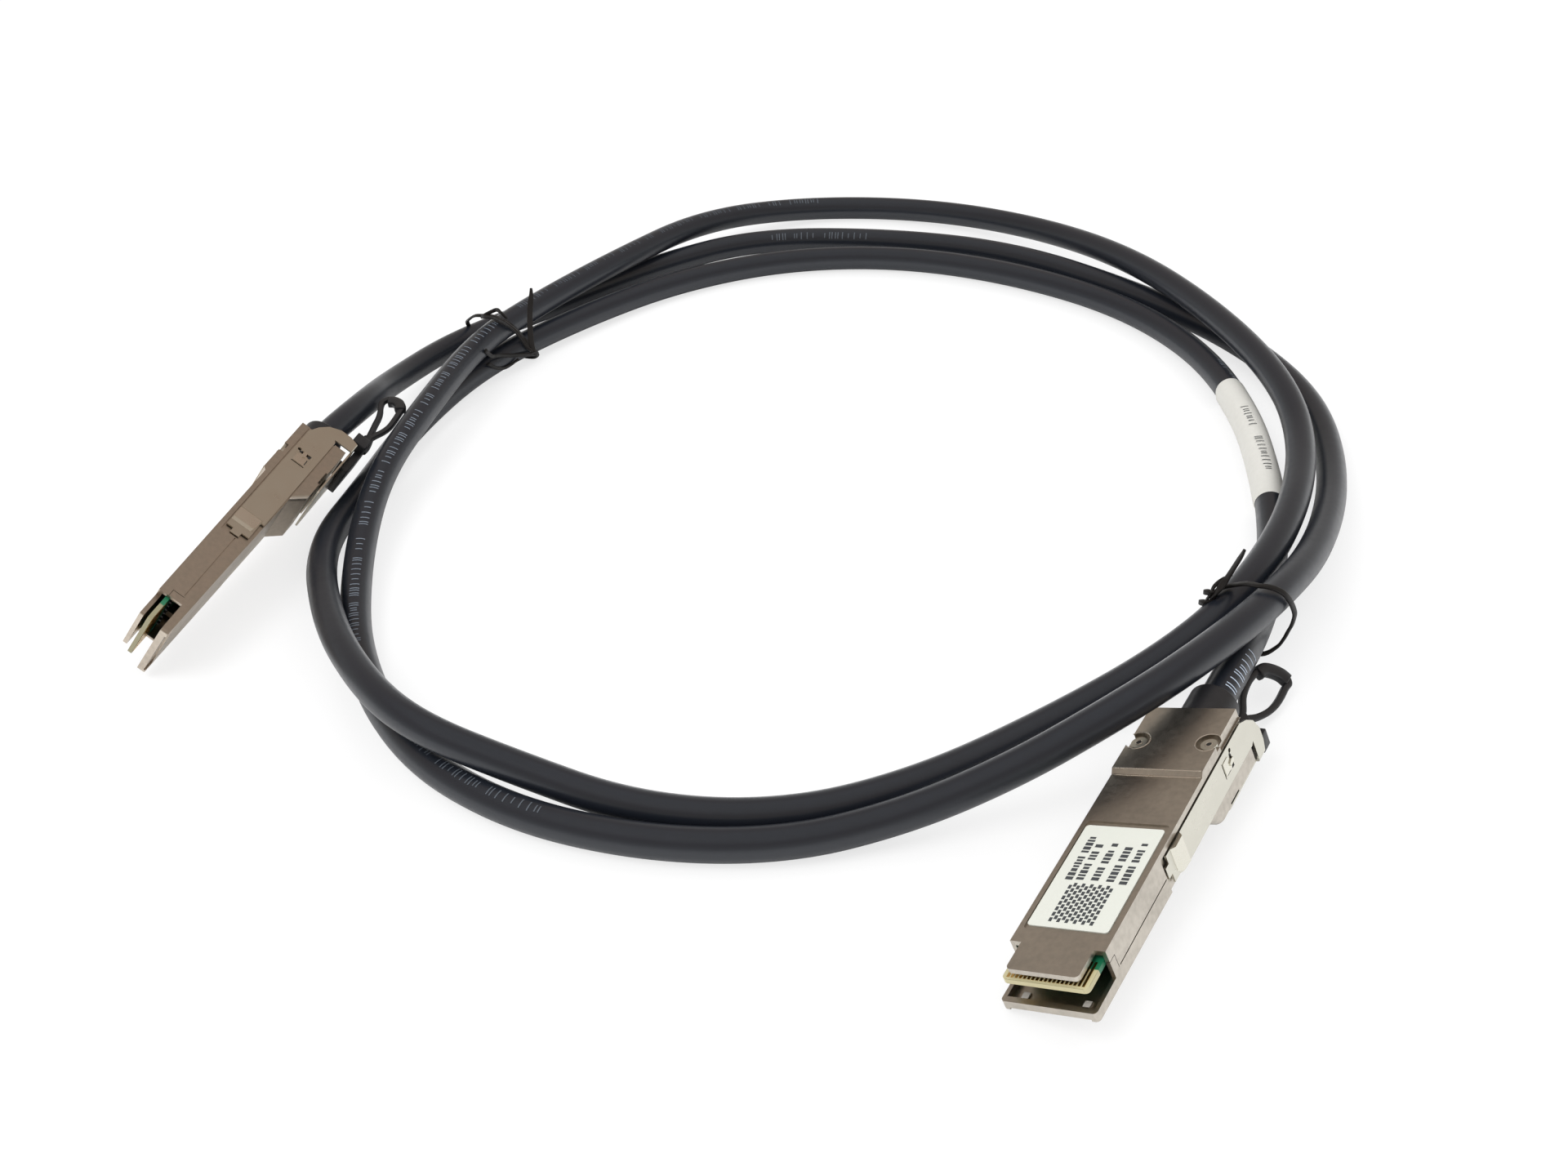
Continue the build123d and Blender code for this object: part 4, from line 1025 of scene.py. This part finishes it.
class BuildSleeve(bpy.types.Operator):
    """Paper sleeve round the cable and the strokes printed on it

    Its radius is SLEEVE_RADIUS + SLEEVE_WAVE sin(WAVE_ALONG s + WAVE_AROUND sin a) + SLEEVE_RIDGE
    ridge(a), with s the share along it. The ridge is a bell curve that starts at the paper's free
    edge. Both mouths draw in to SLEEVE_MOUTH.
    """

    bl_idname = "cable.build_sleeve"
    bl_label = "Build the paper sleeve"

    def execute(self, context):
        line = CordLine()
        lengths = np.linspace(*(line.station(knot) for knot in SLEEVE_SPAN), SLEEVE_ROWS)
        angles = np.linspace(0.0, 2 * np.pi, SLEEVE_COLUMNS)
        share = np.linspace(0.0, 1.0, SLEEVE_ROWS)[:, None]
        past_edge = np.mod(angles - RIDGE_EDGE, 2 * np.pi)
        ridge = np.exp(-((past_edge - RIDGE_TOP) / RIDGE_WIDTH) ** 2)[None, :]
        wave = np.sin(WAVE_ALONG * share + WAVE_AROUND * np.sin(angles)[None, :])
        radius = SLEEVE_RADIUS + SLEEVE_WAVE * wave + SLEEVE_RIDGE * ridge
        radius[[0, -1]] = SLEEVE_MOUTH
        radius[:, -1] = radius[:, 0]
        grid = line.ring(lengths, angles, radius * MM)
        sleeve = new_piece("paper_sleeve", grid.reshape(-1, 3), sheet(SLEEVE_ROWS, SLEEVE_COLUMNS),
                           finish("wrap_paper"), closed=False)
        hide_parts("cable_label")
        bars = joined([bars_on_cord(line, *run, radius=SLEEVE_PRINT_RADIUS) for run in SLEEVE_RUNS])
        new_piece("sleeve_print", *bars, finish("wrap_print"), closed=False)
        return {"FINISHED"}


class BuildTies(bpy.types.Operator):
    """The two twist ties: flat strips round the strands with their twisted loose ends"""

    bl_idname = "cable.build_ties"
    bl_label = "Build the twist ties"

    def execute(self, context):
        ribbon = surface("ribbon", (0.0085, 0.0072, 0.0066), (0.005, 0.0045, 0.0045), metallic=0.0,
                         roughness=0.5, amount=0.4, specular=0.3)
        for side, strips in TIE_STRIPS.items():
            parts = []
            for points, across, half_width, half_height in strips:
                line = smooth_line(points, TIE_STEPS)
                last = len(line) - 1
                taper = np.interp(np.arange(len(line)), (0, last + 1 - TIE_TIP_POINTS, last),
                                  (1.0, 1.0, TIE_TIP))
                parts.append(swept_strip(line, across, half_width * taper, half_height,
                                         sides=TIE_SIDES))
            vertices, faces = joined(parts)
            tie = new_piece("tie_" + side, (vertices - (*CENTRE, 0.0)) * MM, faces, ribbon)
            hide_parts("twist_tie_" + side)
        return {"FINISHED"}


class DeclareCord(bpy.types.Operator):
    """Gathers the names of the pieces that lie on the cable, and leaves them unused"""

    bl_idname = "cable.declare_cord"
    bl_label = "Declare the cord"

    def execute(self, context):
        names = ["cable_print_%d" % number for number in range(len(PRINT_RUNS))]
        names += ["paper_sleeve", "sleeve_print"] + ["tie_" + side for side in TIE_STRIPS]
        return {"FINISHED"}


class BuildFaceLabel(bpy.types.Operator):
    """Label of module a: off-white face with plain bars of print

    Five rows of bars run along the module, and a field of staggered dashes lies beside them.
    """

    bl_idname = "cable.build_face_label"
    bl_label = "Build the face label"

    def execute(self, context):
        dress("module_label_a", finish("label_paper"))
        rng = random.Random(LABEL_SEED)
        parts = []
        for across, front, rear in LABEL_ROWS:
            at, left_in_word = front, rng.randint(*BARS_IN_WORD)
            while at > rear:
                half = BAR_HALF * rng.choice(BAR_HEIGHTS)
                width = rng.choice(BAR_WIDTHS)
                parts.append(flat_bar(at - width, at, across - half, across + half))
                at -= width + BAR_GAP
                left_in_word -= 1
                if left_in_word == 0:
                    at -= LABEL_WORD_GAP
                    left_in_word = rng.randint(*BARS_IN_WORD)
        for row in range(FIELD_ROWS):
            for column in range(FIELD_COLUMNS):
                front = FIELD_CORNER[0] - column * FIELD_STEP[0] - (row % 2) * FIELD_STAGGER
                side = FIELD_CORNER[1] + row * FIELD_STEP[1]
                parts.append(flat_bar(front - DASH[0], front, side, side + DASH[1]))
        module_piece("face_label_print", END_A, parts, finish("label_print"), smooth=False,
                     closed=False)
        return {"FINISHED"}


class BuildStage(bpy.types.Operator):
    """Pale floor, soft lights, world and camera"""

    bl_idname = "cable.build_stage"
    bl_label = "Build the stage"

    def execute(self, context):
        look = context.scene.cable_stage
        scene = context.scene
        scene.view_settings.view_transform = "Standard"
        self.lay_floor(scene, look.floor)
        self.paint_world(scene)
        for name, spot, share, size in LIGHTS:
            light = bpy.data.lights.new(name, "AREA")
            light.energy = look.key_power * share
            light.size = size
            made = bpy.data.objects.new(name, light)
            made.location = spot
            made.visible_glossy = False
            aim = Vector(LIGHT_AIM) - Vector(spot)
            made.rotation_euler = aim.to_track_quat("-Z", "Y").to_euler()
            scene.collection.objects.link(made)
        lens = bpy.data.cameras.new("camera")
        lens.sensor_width = CAMERA_SENSOR
        lens.lens = CAMERA_LENS
        camera = bpy.data.objects.new("camera", lens)
        tilt = Matrix.Rotation(math.radians(90.0 - CAMERA_DOWN), 4, "X")
        roll = Matrix.Rotation(math.radians(-CAMERA_ROLL), 4, "Z")
        camera.matrix_world = Matrix.Translation(row_point(CAMERA_PLACE)) @ tilt @ roll
        scene.collection.objects.link(camera)
        scene.camera = camera
        return {"FINISHED"}

    def lay_floor(self, scene, colour):
        """Matt floor with a share of plain white that only the camera sees."""
        material = bpy.data.materials.new("floor_white")
        material.use_nodes = True
        tree = material.node_tree
        shader = tree.nodes["Principled BSDF"]
        shader.inputs["Base Color"].default_value = (*colour, 1.0)
        shader.inputs["Roughness"].default_value = 0.9
        shader.inputs["Specular IOR Level"].default_value = 0.1
        glow = node(tree, "ShaderNodeEmission", {"Strength": 1.0})
        path = node(tree, "ShaderNodeLightPath")
        part = node(tree, "ShaderNodeMath", {0: path.outputs["Is Camera Ray"], 1: FLOOR_GLOW},
                    operation="MULTIPLY")
        mix = node(tree, "ShaderNodeMixShader", {
            "Fac": part.outputs[0], 1: shader.outputs["BSDF"], 2: glow.outputs["Emission"]})
        tree.links.new(mix.outputs["Shader"], tree.nodes["Material Output"].inputs["Surface"])
        mesh = bpy.data.meshes.new("floor")
        corners = rectangle(-FLOOR_HALF, FLOOR_HALF, -FLOOR_HALF, FLOOR_HALF)
        mesh.from_pydata([(x, y, 0.0) for x, y in corners], [], [(0, 1, 2, 3)])
        mesh.materials.append(material)
        floor = bpy.data.objects.new("floor", mesh)
        scene.collection.objects.link(floor)
        floor.location.z = -FLOOR_DROP

    def paint_world(self, scene):
        """World that the camera sees white, that metal mirrors in bands and that lights softly."""
        world = bpy.data.worlds.new("studio")
        scene.world = world
        world.use_nodes = True
        tree = world.node_tree
        place = node(tree, "ShaderNodeTexCoord")
        split = node(tree, "ShaderNodeSeparateXYZ", {"Vector": place.outputs["Generated"]})
        bands = []
        for stops in (SOFT_BAND, MIRROR_BAND):
            ramp = node(tree, "ShaderNodeValToRGB", {"Fac": split.outputs["Z"]})
            band = ramp.color_ramp
            while len(band.elements) < len(stops):
                band.elements.new(0.5)
            for element, (position, colour) in zip(band.elements, stops):
                element.position = position
                element.color = (*colour, 1.0)
            bands.append(ramp.outputs["Color"])
        path = node(tree, "ShaderNodeLightPath")
        mirror = node(tree, "ShaderNodeMix", {
            "Factor": path.outputs["Is Glossy Ray"], "A": bands[0], "B": bands[1]},
            data_type="RGBA")
        seen = node(tree, "ShaderNodeMix", {
            "Factor": path.outputs["Is Camera Ray"], "A": mirror.outputs["Result"],
            "B": (1.0, 1.0, 1.0, 1.0)}, data_type="RGBA")
        back = tree.nodes["Background"]
        back.inputs["Strength"].default_value = 1.0
        tree.links.new(seen.outputs["Result"], back.inputs["Color"])


class CablePanel(bpy.types.Panel):
    """Sidebar panel with the steps in order and their settings"""

    bl_idname = "VIEW3D_PT_cable"
    bl_label = "Direct attach cable"
    bl_space_type = "VIEW_3D"
    bl_region_type = "UI"
    bl_category = "Cable"

    def draw(self, context):
        for step in STEPS:
            self.layout.operator(step.bl_idname)
        for group in (context.scene.cable_metal, context.scene.cable_cord, context.scene.cable_stage):
            for prop in group.__annotations__:
                self.layout.prop(group, prop)


STEPS = (DressHousings, BuildSliderTrim, BuildShellTrim, DressCards, BuildCardLips, DressBoots,
         BuildPullTabs, BuildCable, BuildPrint, BuildSleeve, BuildTies, DeclareCord, BuildFaceLabel,
         BuildStage)
GROUPS = (("cable_metal", MetalSettings), ("cable_cord", CordSettings), ("cable_stage", StageSettings))


def register():
    """Registers settings, operators and the panel."""
    for name, group in GROUPS:
        bpy.utils.register_class(group)
        setattr(bpy.types.Scene, name, bpy.props.PointerProperty(type=group))
    for step in STEPS:
        bpy.utils.register_class(step)
    bpy.utils.register_class(CablePanel)


def unregister():
    """Takes them all out again."""
    bpy.utils.unregister_class(CablePanel)
    for step in reversed(STEPS):
        bpy.utils.unregister_class(step)
    for name, group in reversed(GROUPS):
        delattr(bpy.types.Scene, name)
        bpy.utils.unregister_class(group)


def main():
    """Runs every step."""
    register()
    bpy.ops.cable.dress_housings()
    bpy.ops.cable.build_slider_trim()
    bpy.ops.cable.build_shell_trim()
    bpy.ops.cable.dress_cards()
    bpy.ops.cable.build_card_lips()
    bpy.ops.cable.dress_boots()
    bpy.ops.cable.build_pull_tabs()
    bpy.ops.cable.build_cable()
    bpy.ops.cable.build_print()
    bpy.ops.cable.build_sleeve()
    bpy.ops.cable.build_ties()
    bpy.ops.cable.declare_cord()
    bpy.ops.cable.build_face_label()
    bpy.ops.cable.build_stage()


if __name__ == "__main__":
    main()
